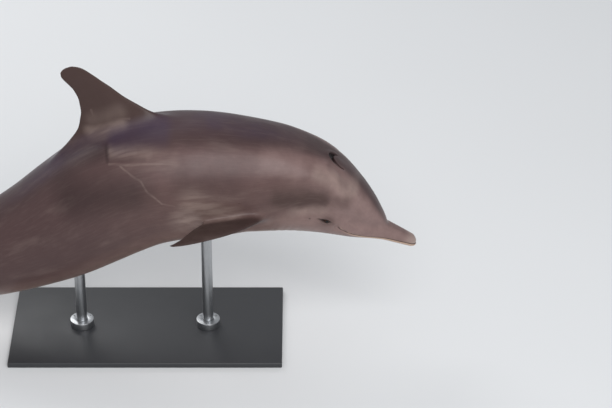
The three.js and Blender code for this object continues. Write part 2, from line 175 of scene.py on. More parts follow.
# The eyes and the blowhole are divided again within each of these distances.
EYE_DIVISIONS = [36, 24, 19]
BLOWHOLE_DIVISIONS = [30, 12]
FIN_SECTIONS = 56
FLUKE_SECTIONS = 44
FIN_AROUND = 44  # points round a fin's section
ROOT_MARGIN = 40  # round a fin, where the skin may move to meet it
ROOT_MERGE = 0.25  # points of a cut edge closer than this become one
ROOT_ROUNDS = 5  # of evening out
LONGEST_STEP = 12  # by which the skin moves at once
SPINE_BATCH = 20000  # points looked up on the spine at once


# --- Curves and the body's shape --------------------------------------------------------------------

def curve(knots):
    """A smooth curve through knots of [place, value] that never overshoots them."""
    places, values = np.array(knots, float).T
    rises = np.diff(values) / np.diff(places)
    slopes = np.zeros(len(places))
    product = rises[:-1] * rises[1:]
    total = np.where(product > 0, rises[:-1] + rises[1:], 1)
    slopes[1:-1] = np.where(product > 0, 2 * product / total, 0)
    slopes[0], slopes[-1] = rises[0], rises[-1]

    def value_at(place):
        place = np.asarray(place, float)
        i = np.clip(np.searchsorted(places, place, side="right") - 1, 0, len(places) - 2)
        span = places[i + 1] - places[i]
        t = np.clip((place - places[i]) / span, 0, 1)
        hold = (1 + 2 * t) * (1 - t) ** 2
        bend = t * (1 - t) ** 2 * span * slopes[i] + t * t * (t - 1) * span * slopes[i + 1]
        return hold * values[i] + (1 - hold) * values[i + 1] + bend

    return value_at


def lay_out_spine():
    """The spine's distances, x, z and pitch, every SPINE_STEP from ahead of the beak's tip."""
    at = np.arange(SPINE_START, BODY_LENGTH + PAST_NOTCH, SPINE_STEP, dtype=float)
    pitch = np.radians(curve(SPINE_PITCH)(at))
    back = SPINE_STEP * np.concatenate([[0], np.cumsum(np.cos(pitch))[:-1]])
    down = SPINE_STEP * np.concatenate([[0], np.cumsum(np.sin(pitch))[:-1]])
    start_x = TIP_X - SPINE_START * math.cos(pitch[0])
    start_z = TIP_Z - SPINE_START * math.sin(pitch[0])
    return at, start_x - back, start_z - down, pitch


SPINE_AT, SPINE_X, SPINE_Z, SPINE_TILT = lay_out_spine()


def place(at, left, up):
    """Points given along the spine, to the left of it and above it."""
    pitch = np.interp(at, SPINE_AT, SPINE_TILT)
    x = np.interp(at, SPINE_AT, SPINE_X) - up * np.sin(pitch)
    z = np.interp(at, SPINE_AT, SPINE_Z) + up * np.cos(pitch)
    return np.stack(np.broadcast_arrays(x, left, z), -1)


def along_spine(points):
    """The at, left and up of points: the way back from place."""
    x, z = points[:, 0], points[:, 2]
    at = np.empty(len(points))
    for start in range(0, len(points), SPINE_BATCH):
        part = slice(start, start + SPINE_BATCH)
        far = (x[part, None] - SPINE_X) ** 2 + (z[part, None] - SPINE_Z) ** 2
        at[part] = SPINE_AT[far.argmin(1)]
    for _ in range(14):
        pitch = np.interp(at, SPINE_AT, SPINE_TILT)
        dx = x - np.interp(at, SPINE_AT, SPINE_X)
        dz = z - np.interp(at, SPINE_AT, SPINE_Z)
        at = at - (dx * np.cos(pitch) + dz * np.sin(pitch))
    return at, points[:, 1], dz * np.cos(pitch) - dx * np.sin(pitch)


def as_curves(shape):
    return {name: curve(knots) for name, knots in shape.items()}


jaws = as_curves(JAWS)
trunk = as_curves(TRUNK)
blend_at = curve(CREASE_BLEND)
mouth_line = curve(MOUTH_LINE)
melon_crease = curve(MELON_CREASE)


def outside(shape, at, left, up):
    """How far points lie outside one of the body's two shapes: under 0 is inside it."""
    top, bottom = shape["top"](at), shape["bottom"](at)
    half_width, fullness = shape["half_width"](at), shape["fullness"](at)
    half_height = (top + bottom) / 2
    across = np.abs(left / half_width) ** fullness
    upright = np.abs((up - (top - bottom) / 2) / half_height) ** fullness
    return ((across + upright) ** (1 / fullness) - 1) * np.minimum(half_width, half_height)


def soft_least(a, b, blend):
    """The lesser of a and b, rounded off over a distance where they are alike."""
    near = np.maximum(blend - np.abs(a - b), 0) / blend
    return np.minimum(a, b) - near * near * blend / 4


def outside_body(at, left, up):
    in_jaws = np.where(at < JAWS_END, outside(jaws, at, left, up), 1e6)
    in_trunk = np.where(at > CREASE_AT, outside(trunk, at, left, up), 1e6)
    return soft_least(in_jaws, in_trunk, blend_at(at))


def section_middle(at):
    """How far above the spine the middle of a section lies."""
    share = np.clip((at - CREASE_AT) / MIDDLE_RISE, 0, 1)
    return (trunk["top"](at) - trunk["bottom"](at)) / 2 * share


def tip_share(at):
    """How much the beak's rounded tip narrows a section."""
    ahead = np.maximum(BEAK_TIP_RADIUS - at, 0) / BEAK_TIP_RADIUS
    return np.sqrt(np.maximum(1 - ahead * ahead, 0))


def farthest_inside(is_inside, near, far, halvings):
    """The distance, between near and far, up to which is_inside is true."""
    for _ in range(halvings):
        middle = (near + far) / 2
        within = is_inside(middle)
        near = np.where(within, middle, near)
        far = np.where(within, far, middle)
    return near


def skin_reach(at, turn):
    """How far the skin is from a section's middle. A turn of 0 is the back, pi / 2 the left side."""
    middle = section_middle(at)
    inside = farthest_inside(
        lambda reach: outside_body(at, reach * np.sin(turn), middle + reach * np.cos(turn)) < 0,
        np.zeros_like(at), 400, SKIN_HALVINGS,
    )
    return inside * tip_share(at)


def turn_of(at, left, up):
    return np.arctan2(left, up - section_middle(at))


# --- Folds of the skin ------------------------------------------------------------------------------

def hump(distance, width):
    return np.exp(-((distance / width) ** 2))


def fade(start, end, value):
    """0 at start and 1 at end, with a soft beginning and end."""
    t = np.clip((value - start) / (end - start), 0, 1)
    return t * t * (3 - 2 * t)


def mouth_distance(at, up):
    """Height above the mouth line, and how much of the line there is at that place."""
    return up - mouth_line(at), fade(MOUTH_CORNER_AT + 4, MOUTH_CORNER_AT - 8, at)


def blowhole_distance(at, left):
    """How far a place on the crown is from the blowhole's crescent, with its distance and its angle
    from the middle of the crescent's ring."""
    rearward = (at - BLOWHOLE["at"]) / BLOWHOLE["length"] + BLOWHOLE["radius"]
    aside = left - BLOWHOLE["left"]
    turned = np.radians(BLOWHOLE["turned"])
    behind = rearward * np.cos(turned) - aside * np.sin(turned)
    beside = aside * np.cos(turned) + rearward * np.sin(turned)
    radius = np.hypot(behind, beside)
    angle = np.degrees(np.arctan2(np.abs(beside), behind))
    past_horn = np.radians(np.maximum(angle - BLOWHOLE["horns"], 0)) * BLOWHOLE["radius"]
    return np.hypot(radius - BLOWHOLE["radius"], past_horn), radius, angle


def blowhole_width(angle):
    """Half the width of the blowhole's crescent at an angle round its ring: widest at the back."""
    return BLOWHOLE["groove"] * np.maximum(1.1 - 0.9 * (angle / BLOWHOLE["horns"]) ** 2, 0.12)


def relief(at, left, up):
    """How far the skin's folds stand out. Under 0 they lie in."""
    side = np.abs(left)
    away, mouth = mouth_distance(at, up)
    on_side = fade(0.15, 0.6, side / np.maximum(jaws["half_width"](at), 1))
    on_side = np.maximum(on_side, fade(40, 15, at))
    folds = mouth * on_side * (
        -4.2 * hump(away, 1.5) + 1.9 * hump(away - 6, 4.5) + 1.4 * hump(away + 6, 4.5)
    )
    # The corner of the mouth ends in a soft fold that turns up, with a pouch of cheek behind it.
    corner = np.hypot(at - MOUTH_CORNER_AT + 4, (up - 8) * 1.2)
    behind = fade(MOUTH_CORNER_AT - 10, MOUTH_CORNER_AT + 6, at)
    folds += behind * (-1.8 * hump(corner - 15, 3.2) + 1.6 * hump(corner - 25, 7) - 2.2 * hump(corner, 7))
    folds += -1.6 * hump(corner, 5)
    # The crease between melon and beak is a little sharper than the two shapes make it.
    on_top = fade(8, 22, up) * fade(95, 105, at) * fade(140, 122, at)
    folds += on_top * -1.5 * hump(at - BEAK_CREASE_AT - 0.35 * side, 3.5)
    # A faint crease runs from each side of the blowhole down the melon, with a ridge under it.
    beside = side - melon_crease(at)
    on_melon = fade(60, 90, up) * fade(262, 290, at) * fade(405, 380, at)
    folds += on_melon * (-2.2 * hump(beside, 6) + 3.0 * hump(beside - 30, 17))
    # The eye sits in a low swelling, with an ear hole behind it.
    eye = np.hypot((at - EYE["at"]) / 1.35, up - EYE["up"])
    folds += 3.6 * hump(eye, 28) - 0.7 * hump(eye - 40, 14)
    ear = np.hypot(at - EAR["at"], up - EAR["up"])
    folds += np.where(up < 120, 0.8 * hump(ear, 9) - 3.2 * hump(ear, 2.6), 0)
    # Blowhole: a crescent cut, a domed plug ahead of it and a low rim round it.
    crown = fade(105, 130, up) * fade(470, 445, at) * fade(340, 352, at)
    cut, radius, angle = blowhole_distance(at, left)
    width = blowhole_width(angle)
    folds += crown * (
        -8 * fade(width + 1.0, width - 1.2, cut)
        + 2.2 * hump(radius, 20)
        + 2.4 * hump(radius - BLOWHOLE["radius"] - 9, 7) * fade(110, 70, angle)
    )
    # Faint creases cross the throat, where the neck bends.
    below = fade(-10, -60, up)
    for crease_at, depth in THROAT_CREASES:
        folds += below * -depth * hump(at - crease_at + 0.1 * side, 6)
    # Navel and slit on the belly.
    belly = fade(-60, -100, up)
    navel = np.hypot(at - NAVEL_AT, left * 1.4)
    slit_place = np.maximum(np.maximum(SLIT_FROM - at, at - SLIT_TO), 0)
    slit = np.hypot(left, slit_place)
    folds += belly * (-3 * hump(navel, 7) + 1.2 * hump(navel - 16, 7))
    folds += belly * (-5 * hump(slit, 3) + 1.6 * hump(slit - 12, 8))
    return folds


def eye_frame(side):
    """The eyeball's middle, and the directions forward, up and out of the head there."""
    skin = farthest_inside(
        lambda left: outside_body(EYE["at"], left, EYE["up"]) < 0, 0.0, 300.0, SPOT_HALVINGS
    )
    centre = place(EYE["at"], side * (skin + EYE["proud"] - EYE["radius"]), EYE["up"])
    pitch = float(np.interp(EYE["at"], SPINE_AT, SPINE_TILT))
    forward = np.array([math.cos(pitch), 0, math.sin(pitch)])
    upward = np.array([-math.sin(pitch), 0, math.cos(pitch)])
    return centre, forward, upward, np.array([0, side, 0])


def lid_edge(points, side):
    """How far points lie outside the eye's almond opening, seen from the eyeball's middle, with their
    distance from that middle and their height over it."""
    centre, forward, upward, outward = eye_frame(side)
    offset = points - centre
    distance = np.maximum(np.linalg.norm(offset, axis=1), 1e-6)
    scale = EYE["radius"] / distance
    height = (offset @ upward) * scale
    half_length = EYE_OPENING["half_length"]
    share = (offset @ forward) * scale / half_length
    half_height = EYE_OPENING["half_height"] * (1 - np.clip(share * share, 0, 1)) ** 0.85
    over = np.abs(height - 0.4) - half_height
    edge = np.hypot(np.maximum(over, 0), np.maximum(np.abs(share) - 1, 0) * half_length)
    edge = np.where(over < 0, over, edge)
    return np.where(offset @ outward > 0, edge, 99), distance, height


def fit_lids(points):
    """Draws the skin over each eyeball as lids, and in under it where the eye is open."""
    radius = EYE["radius"]
    for side in (1, -1):
        centre = eye_frame(side)[0]
        near = np.linalg.norm(points - centre, axis=1) < LIDS_REACH
        some = points[near]
        edge, distance, height = lid_edge(some, side)
        rim = 0.9 * hump(edge - 1.7, 1.5) - 0.9 * hump(edge - 5.4 - 0.12 * height, 1.6)
        rim += -0.6 * hump(edge - 9.7, 1.8) + 0.5 * hump(edge - 7.4, 1.5)
        lid = np.maximum(distance, radius + 1.1) + rim * fade(40, 22, distance)
        share = fade(0.55, -0.75, edge)
        wanted = lid * (1 - share) + (radius - 3.5) * share
        wanted = np.where(edge > 30, distance, wanted)
        points[near] = centre + (some - centre) * (wanted / distance)[:, None]
    return points


# --- Making meshes ----------------------------------------------------------------------------------

def clear_selection():
    bpy.ops.object.select_all(action="DESELECT")


def make_active(piece):
    clear_selection()
    piece.select_set(True)
    bpy.context.view_layer.objects.active = piece


def apply_modifier(piece, kind, **settings):
    make_active(piece)
    modifier = piece.modifiers.new(kind.lower(), kind)
    for name, value in settings.items():
        setattr(modifier, name, value)
    bpy.ops.object.modifier_apply(modifier=modifier.name)


def placed(name):
    """The piece that was just added, with a name and its own axes on the world's."""
    piece = bpy.context.object
    piece.name = name
    bpy.ops.object.transform_apply(location=True, rotation=True, scale=True)
    return piece


def add_cylinder(name, centre, radius, depth, sides=64):
    clear_selection()
    bpy.ops.mesh.primitive_cylinder_add(vertices=sides, radius=radius, depth=depth, location=centre)
    return placed(name)


def coordinates(piece):
    flat = np.empty(len(piece.data.vertices) * 3)
    piece.data.vertices.foreach_get("co", flat)
    return flat.reshape(-1, 3) / MM


def set_coordinates(piece, points):
    piece.data.vertices.foreach_set("co", (points * MM).ravel())
    piece.data.update()


def rolled_grid(name, points):
    """A closed tube or blade from a grid of points: its last column meets its first, and a row
    whose points are all in one place closes its end."""
    rows, columns = points.shape[:2]
    clear_selection()
    bpy.ops.mesh.primitive_grid_add(x_subdivisions=columns, y_subdivisions=rows - 1, size=1)
    piece = bpy.context.object
    piece.name = piece.data.name = name
    wrapped = np.concatenate([points, points[:, :1]], axis=1)
    set_coordinates(piece, wrapped.reshape(-1, 3))
    bpy.ops.object.mode_set(mode="EDIT")
    bpy.ops.mesh.select_all(action="SELECT")
    bpy.ops.mesh.remove_doubles(threshold=2e-6)
    bpy.ops.mesh.normals_make_consistent(inside=False)
    bpy.ops.object.mode_set(mode="OBJECT")
    return piece


def divide(piece, chosen, cuts):
    """Divides the faces whose vertices are all chosen."""
    make_active(piece)
    mesh = piece.data
    picked = [False] * len(mesh.polygons)
    for polygon in mesh.polygons:
        picked[polygon.index] = all(chosen[v] for v in polygon.vertices)
    mesh.vertices.foreach_set("select", [False] * len(mesh.vertices))
    mesh.edges.foreach_set("select", [False] * len(mesh.edges))
    mesh.polygons.foreach_set("select", picked)
    bpy.ops.object.mode_set(mode="EDIT")
    bpy.ops.mesh.select_mode(type="FACE")
    bpy.ops.mesh.subdivide(number_cuts=cuts, smoothness=0, ngon=True, quadcorner="INNERVERT")
    bpy.ops.object.mode_set(mode="OBJECT")


def ring_places():
    """Where the body's rings are: close at the beak's tip and the face, wider along the trunk."""
    places = [BEAK_TIP_RADIUS * (1 - math.cos(math.radians(step))) for step in range(0, 90, 7)]
    spacing = curve(RING_SPACING)
    while places[-1] < SKIN_END - 6:
        places.append(places[-1] + float(spacing(places[-1])))
    return np.array(places[:-1] + [SKIN_END])


def row_turns(at):
    """The turns of a ring's points, crowded at the mouth row, from the back round the left side."""
    path = curve(ROW_PATH)(at) - section_middle(at)
    half_width = skin_reach(at, np.full_like(at, math.pi / 2))
    mouth_turn = np.arctan2(half_width, path)
    crowding = curve(ROW_CROWDING)(at)
    rows = np.arange(HALF_ROWS + 1)[None, :]
    above = np.clip((MOUTH_ROW - rows) / MOUTH_ROW, 0, 1)
    below = np.clip((rows - MOUTH_ROW) / (HALF_ROWS - MOUTH_ROW), 0, 1)
    share = np.where(rows < MOUTH_ROW, above, below)
    eased = crowding[:, None] * share + (1 - crowding[:, None]) * share ** 1.9
    half = np.where(
        rows < MOUTH_ROW,
        mouth_turn[:, None] * (1 - eased),
        mouth_turn[:, None] + (math.pi - mouth_turn[:, None]) * eased,
    )
    return np.concatenate([half, -half[:, -2:0:-1]], axis=1)


def make_body():
    places = ring_places()
    turns = row_turns(places)
    at = np.repeat(places[:, None], turns.shape[1], axis=1)
    reach = skin_reach(at, turns)
    points = place(at, reach * np.sin(turns), section_middle(at) + reach * np.cos(turns))
    end = place(np.full(turns.shape[1], SKIN_END + 1.0), 0.0, 0.0)
    return rolled_grid("dolphin_skin", np.concatenate([points, end[None]]))


def near_blowhole(body):
    """How far the body's points are from the blowhole's crescent, where they are on the crown, and
    their angle round it."""
    at, left, up = along_spine(coordinates(body))
    cut, _, angle = blowhole_distance(at, left)
    return np.where((up > 100) & (at < 500), cut, 1000), angle


def divide_details(body):
    """Divides the places with fine folds."""
    for side in (1, -1):
        middle = eye_frame(side)[0]
        for reach in EYE_DIVISIONS:
            divide(body, np.linalg.norm(coordinates(body) - middle, axis=1) < reach, 1)
        divide(body, np.abs(lid_edge(coordinates(body), side)[0]) < 1.9, 1)
    at, left, up = along_spine(coordinates(body))
    divide(body, (np.abs(up - mouth_line(at)) < 4.6) & (at > 4) & (at < MOUTH_CORNER_AT + 6), 1)
    for reach in BLOWHOLE_DIVISIONS:
        divide(body, near_blowhole(body)[0] < reach, 1)
    cut, angle = near_blowhole(body)
    divide(body, np.abs(cut - blowhole_width(angle)) < 2.6, 1)
    at, left, up = along_spine(coordinates(body))
    on_belly = (np.abs(left) < 22) & (up < 0)
    near_navel = np.abs(at - NAVEL_AT) < 30
    near_slit = (at > SLIT_FROM - 20) & (at < SLIT_TO + 20)
    divide(body, on_belly & (near_navel | near_slit), 2)


def fold_skin(body):
    """Moves every point onto the folded skin."""
    at, left, up = along_spine(coordinates(body))
    at = np.clip(at, 0, STOCK_END)
    turn = turn_of(at, left, up)
    reach = skin_reach(at, turn)
    left, up = reach * np.sin(turn), section_middle(at) + reach * np.cos(turn)
    folds = relief(at, left, up) * fade(0, 8, reach)
    left = left + folds * np.sin(turn)
    up = up + folds * np.cos(turn)
    # The lower jaw reaches a little ahead of the upper one.
    lower = fade(1.5, -3, up - mouth_line(at)) * fade(70, 5, at)
    set_coordinates(body, fit_lids(place(at - 4.5 * lower, left, up)))


# --- Fins -------------------------------------------------------------------------------------------

def as_blade(rows):
    """Curves for a fin's leading edge, trailing edge and thickness at a distance out."""
    rows = np.array(rows, float)
    return {
        "from": rows[0, 0], "to": rows[-1, 0],
        "lead": curve(rows[:, [0, 1]]), "trail": curve(rows[:, [0, 2]]), "thick": curve(rows[:, [0, 3]]),
    }


def bulge_of(share):
    """How full a fin's section is at a share of its chord, against an ellipse."""
    return 1.12 - 0.62 * share


def blade_grid(blade, sections):
    """Distance out, distance along the chord and height off the blade's middle, row by row."""
    steps = np.linspace(0, 1, sections)
    out = blade["from"] + (blade["to"] - blade["from"]) * (1 - (1 - steps) ** 1.6)
    lead, trail, thick = blade["lead"](out), blade["trail"](out), blade["thick"](out)
    # Five more rows round the tip off and close it.
    turn = np.radians([25, 50, 68, 82, 90])
    middle, chord = (lead[-1] + trail[-1]) / 2, (trail[-1] - lead[-1]) / 2
    out = np.concatenate([out[:1], out, out[-1] + 0.16 * abs(chord) * np.sin(turn)])
    lead = np.concatenate([[(lead[0] + trail[0]) / 2], lead, middle - chord * np.cos(turn)])
    trail = np.concatenate([[lead[0]], trail, middle + chord * np.cos(turn)])
    thick = np.concatenate([[0], thick, thick[-1] * np.cos(turn)])
    round_turn = np.linspace(0, 2 * math.pi, FIN_AROUND, endpoint=False)
    share = (1 - np.cos(round_turn)) / 2
    bulge = np.sin(round_turn) * bulge_of(share)
    along = lead[:, None] + (trail - lead)[:, None] * share
    return np.repeat(out[:, None], FIN_AROUND, 1), along, thick[:, None] / 2 * bulge


def beyond_ellipse(x, y, long, short):
    """The distance of points from an ellipse round the origin: under 0 is inside it."""
    x, y = np.abs(x), np.abs(y)
    tx = np.full(x.shape, math.sqrt(0.5))
    ty = tx.copy()
    spread = long ** 2 - short ** 2
    for _ in range(4):
        bend_x, bend_y = spread * tx ** 3 / long, -spread * ty ** 3 / short
        from_bend = np.hypot(long * tx - bend_x, short * ty - bend_y)
        size = np.maximum(np.hypot(x - bend_x, y - bend_y), 1e-9)
        tx = np.clip(((x - bend_x) * from_bend / size + bend_x) / long, 0, 1)
        ty = np.clip(((y - bend_y) * from_bend / size + bend_y) / short, 0, 1)
        whole = np.maximum(np.hypot(tx, ty), 1e-9)
        tx, ty = tx / whole, ty / whole
    beyond = np.hypot(x - long * tx, y - short * ty)
    across, through = x / long, y / short
    growth = 2 * np.hypot(across / long, through / short)
    depth = (across ** 2 + through ** 2 - 1) / np.maximum(growth, 1e-6)
    return np.where(depth < 0, depth, beyond)


def outside_blade(blade, out, along, off):
    """The distance of points from a blade's section: under 0 is inside it."""
    lead, trail, thick = blade["lead"](out), blade["trail"](out), blade["thick"](out)
    share = np.clip((along - lead) / (trail - lead), 0, 1)
    short = thick / 2 * bulge_of(share)
    return beyond_ellipse(along - (lead + trail) / 2, off, np.abs(trail - lead) / 2, short)


def flipper_frame(side):
    """A flipper's root on the body, and its directions out, ahead and through."""
    at = np.array([FLIPPER_ROOT["at"]], float)
    turn = np.radians([FLIPPER_ROOT["turn"]])
    reach = skin_reach(at, turn)
    middle = section_middle(at)
    root = Vector(place(at, reach * np.sin(turn), middle + reach * np.cos(turn))[0])
    centre = Vector(place(at, np.zeros(1), middle)[0])
    root = root.lerp(centre, FLIPPER_ROOT["inset"] / (root - centre).length)
    ahead = FLIPPER_OUT.cross(Vector((0, 0, 1))).normalized()
    ahead.rotate(Quaternion(FLIPPER_OUT, math.radians(-FLIPPER_TWIST)))
    thick = ahead.cross(FLIPPER_OUT).normalized()
    mirror = np.array([1, side, 1])
    return [np.array(v) * mirror for v in (root, FLIPPER_OUT, ahead, thick)]


def dorsal_frame():
    """The dorsal fin's root, and its directions up, back and through."""
    slope = math.radians(FIN_BASE_SLOPE)
    root = place(FIN_BASE_AT, 0.0, FIN_BASE_UP)
    back = np.array([-math.cos(slope), 0, -math.sin(slope)])
    return [root, np.array([-math.sin(slope), 0, math.cos(slope)]), back, np.array([0, 1, 0])]


dorsal = as_blade(DORSAL_FIN)
flipper = as_blade(FLIPPER)
fluke = as_blade(FLUKES)


def make_framed_fin(blade, fin_frame):
    """A fin laid out in a frame of its root, and its directions out, along the chord and through."""
    root, outward, chord, through = fin_frame
    out, along, off = blade_grid(blade, FIN_SECTIONS)
    points = root + out[..., None] * outward + along[..., None] * chord + off[..., None] * through
    return rolled_grid("fin_form", points)


def make_flukes():
    """Both flukes as one blade, from the right tip to the left one."""
    out, along, off = [rows[1:] for rows in blade_grid(fluke, FLUKE_SECTIONS)]
    left = np.concatenate([-out[:0:-1], out])
    along, off = [np.concatenate([rows[:0:-1], rows]) for rows in (along, off)]
    return rolled_grid("flukes_form", place(along, left, off))


def outside_framed(blade, fin_frame, points):
    root, outward, chord, through = fin_frame
    offset = points - root
    return outside_blade(blade, offset @ outward, offset @ chord, offset @ through)


def outside_flukes(points):
    at, left, up = along_spine(points)
    return outside_blade(fluke, np.abs(left), at, up)


def outside_torso(points):
    at, left, up = along_spine(points)
    return outside_body(np.clip(at, 0, STOCK_END), left, up) + np.maximum(at - SKIN_END, 0)


def steepness(function, points):
    """A function's direction of growth at points, by steps of half a millimetre."""
    steps = np.eye(3) / 2
    return np.stack([function(points + step) - function(points - step) for step in steps], 1)


def soften_root(skin, outside_fin, reach_of_fin, blend):
    """Moves the skin where a fin meets the body onto one rounded surface."""
    points = coordinates(skin)
    low, high = reach_of_fin
    index = np.nonzero(np.all((points > low) & (points < high), axis=1))[0]
    some = points[index]

    body_slope = np.maximum(np.linalg.norm(steepness(outside_torso, some), axis=1), 0.1)
    from_body, from_fin = outside_torso(some) / body_slope, outside_fin(some)
    meets = (np.abs(from_body) < 1.3 * blend) & (np.abs(from_fin) < 1.3 * blend)
    index, body_slope, some = index[meets], body_slope[meets], some[meets]
    if not len(index):
        raise RuntimeError(f"no skin found where {skin.name} meets a fin")

    def outside_both(moved):
        return soft_least(outside_torso(moved) / body_slope, outside_fin(moved), blend)

    for _ in range(4):
        slope = steepness(outside_both, some)
        steep = (slope ** 2).sum(1)
        step = -outside_both(some) / np.maximum(steep, 0.05)
        length = np.abs(step) * np.sqrt(steep)
        step = step * np.minimum(1, LONGEST_STEP / np.maximum(length, 1e-6))
        some = some + slope * step[:, None]
    points[index] = some
    set_coordinates(skin, points)
    return index


def put_in_order(piece):
    """Lists a piece's points and faces by place: a union may leave them in any order."""
    points = coordinates(piece)
    order = np.lexsort(points.T)
    rank = np.argsort(order)
    faces = []
    for polygon in piece.data.polygons:
        corners = [int(rank[point]) for point in polygon.vertices]
        first = corners.index(min(corners))
        faces.append(corners[first:] + corners[:first])
    piece.data.clear_geometry()
    piece.data.from_pydata((points[order] * MM).tolist(), [], sorted(faces))


def unite(skin, fin):
    apply_modifier(skin, "BOOLEAN", operation="UNION", solver="EXACT", object=fin)
    bpy.data.objects.remove(fin)
    put_in_order(skin)


def relax(skin, chosen, rounds):
    """Evens out the points near a fin's root along the surface."""
    form = bmesh.new()
    form.from_mesh(skin.data)
    form.verts.ensure_lookup_table()
    verts = [form.verts[i] for i in chosen]
    for _ in range(rounds):
        bmesh.ops.smooth_vert(
            form, verts=verts, factor=0.5, use_axis_x=True, use_axis_y=True, use_axis_z=True
        )
    form.to_mesh(skin.data)
    form.free()


def box_of(piece, margin):
    points = coordinates(piece)
    return points.min(0) - margin, points.max(0) + margin


def join_fins(skin, look):
    """Unites the fins with the body, and rounds off where they meet."""
    fins = []
    for blade, fin_frame, root in (
        (dorsal, dorsal_frame(), look.dorsal_root),
        (flipper, flipper_frame(1), look.flipper_root),
        (flipper, flipper_frame(-1), look.flipper_root),
    ):
        fin = make_framed_fin(blade, fin_frame)
        fins.append((fin, partial(outside_framed, blade, fin_frame), root / MM))
    fins.append((make_flukes(), outside_flukes, look.fluke_root / MM))
    roots = []
    for fin, outside_fin, blend in fins:
        roots.append((outside_fin, box_of(fin, ROOT_MARGIN), blend))
        unite(skin, fin)
    make_active(skin)
    bpy.ops.object.mode_set(mode="EDIT")
    bpy.ops.mesh.select_all(action="SELECT")
    bpy.ops.mesh.remove_doubles(threshold=ROOT_MERGE * MM)
    bpy.ops.object.mode_set(mode="OBJECT")
    for root in roots:
        relax(skin, soften_root(skin, *root), ROOT_ROUNDS)
        soften_root(skin, *root)


def torso_underside(x, y):
    """The height of the torso's underside over a point of the floor."""
    height = farthest_inside(
        lambda z: outside_torso(np.array([[x, y, z]]))[0] >= 0, 0.0, 600.0, SPOT_HALVINGS
    )
    return float(height)


# --- Marks ------------------------------------------------------------------------------------------

def mark(piece, name, values):
    """Keeps a number at every point of a piece, for its material to read."""
    attribute = piece.data.attributes.new(name, "FLOAT", "POINT")
    attribute.data.foreach_set("value", np.asarray(values, np.float32))


def mark_skin(skin):
    """Marks where the skin is on the animal, where the lips are, and where creases and openings get painted
    shade.
    """
    points = coordinates(skin)
    at, left, up = along_spine(points)
    mark(skin, "along", at * MM)
    mark(skin, "turn", np.abs(turn_of(at, left, up)) / math.pi)
    mark(skin, "fin", fade(6, 42, outside_torso(points)))
    away, mouth = mouth_distance(at, up)
    lip_depth = 3.5 + 4.5 * fade(290, 120, at)
    ahead_of_corner = mouth * (at < MOUTH_CORNER_AT)
    lower = fade(-0.5, -1.8, away) * fade(-lip_depth - 3, -lip_depth, away) * ahead_of_corner
    mark(skin, "lower_lip", lower * fade(MOUTH_CORNER_AT - 4, 210, at))
    mark(skin, "upper_lip", fade(1.2, 2.2, away) * fade(4.8, 3.4, away) * ahead_of_corner)
    groove = hump(away, 1.7) * mouth * (at < MOUTH_CORNER_AT + 4)
    cut, _, angle = blowhole_distance(at, left)
    width = blowhole_width(angle)
    on_crown = (up > 110) & (at > 348) & (at < 450)
    hole = np.where(on_crown, fade(width + 1.5, width - 1.0, cut), 0)
    open_eye, lids = np.zeros((2, len(points)))
    for side in (1, -1):
        edge, distance, _ = lid_edge(points, side)
        near = distance < LIDS_REACH
        open_eye = np.where(near, np.maximum(open_eye, fade(1.0, -0.6, edge)), open_eye)
        lids = np.where(near, np.maximum(lids, hump(edge - 2, 4.5) * fade(34, 17, distance)), lids)
    ear = hump(np.hypot(at - EAR["at"], up - EAR["up"]), 3) * (up < 120)
    # The mask of painted shade in the mouth's groove, the blowhole, the open eye and the ear hole.
    mark(skin, "opening_shade", np.clip(np.maximum.reduce([groove * 0.85, hole, open_eye, ear * 0.8]), 0, 1))
    around_eye = hump(np.hypot((at - EYE["at"]) / 1.5, up - EYE["up"]), 30) * (up < 140)
    mark(skin, "eye_patch", np.clip(0.75 * around_eye + 0.6 * lids, 0, 1))


# --- Materials --------------------------------------------------------------------------------------

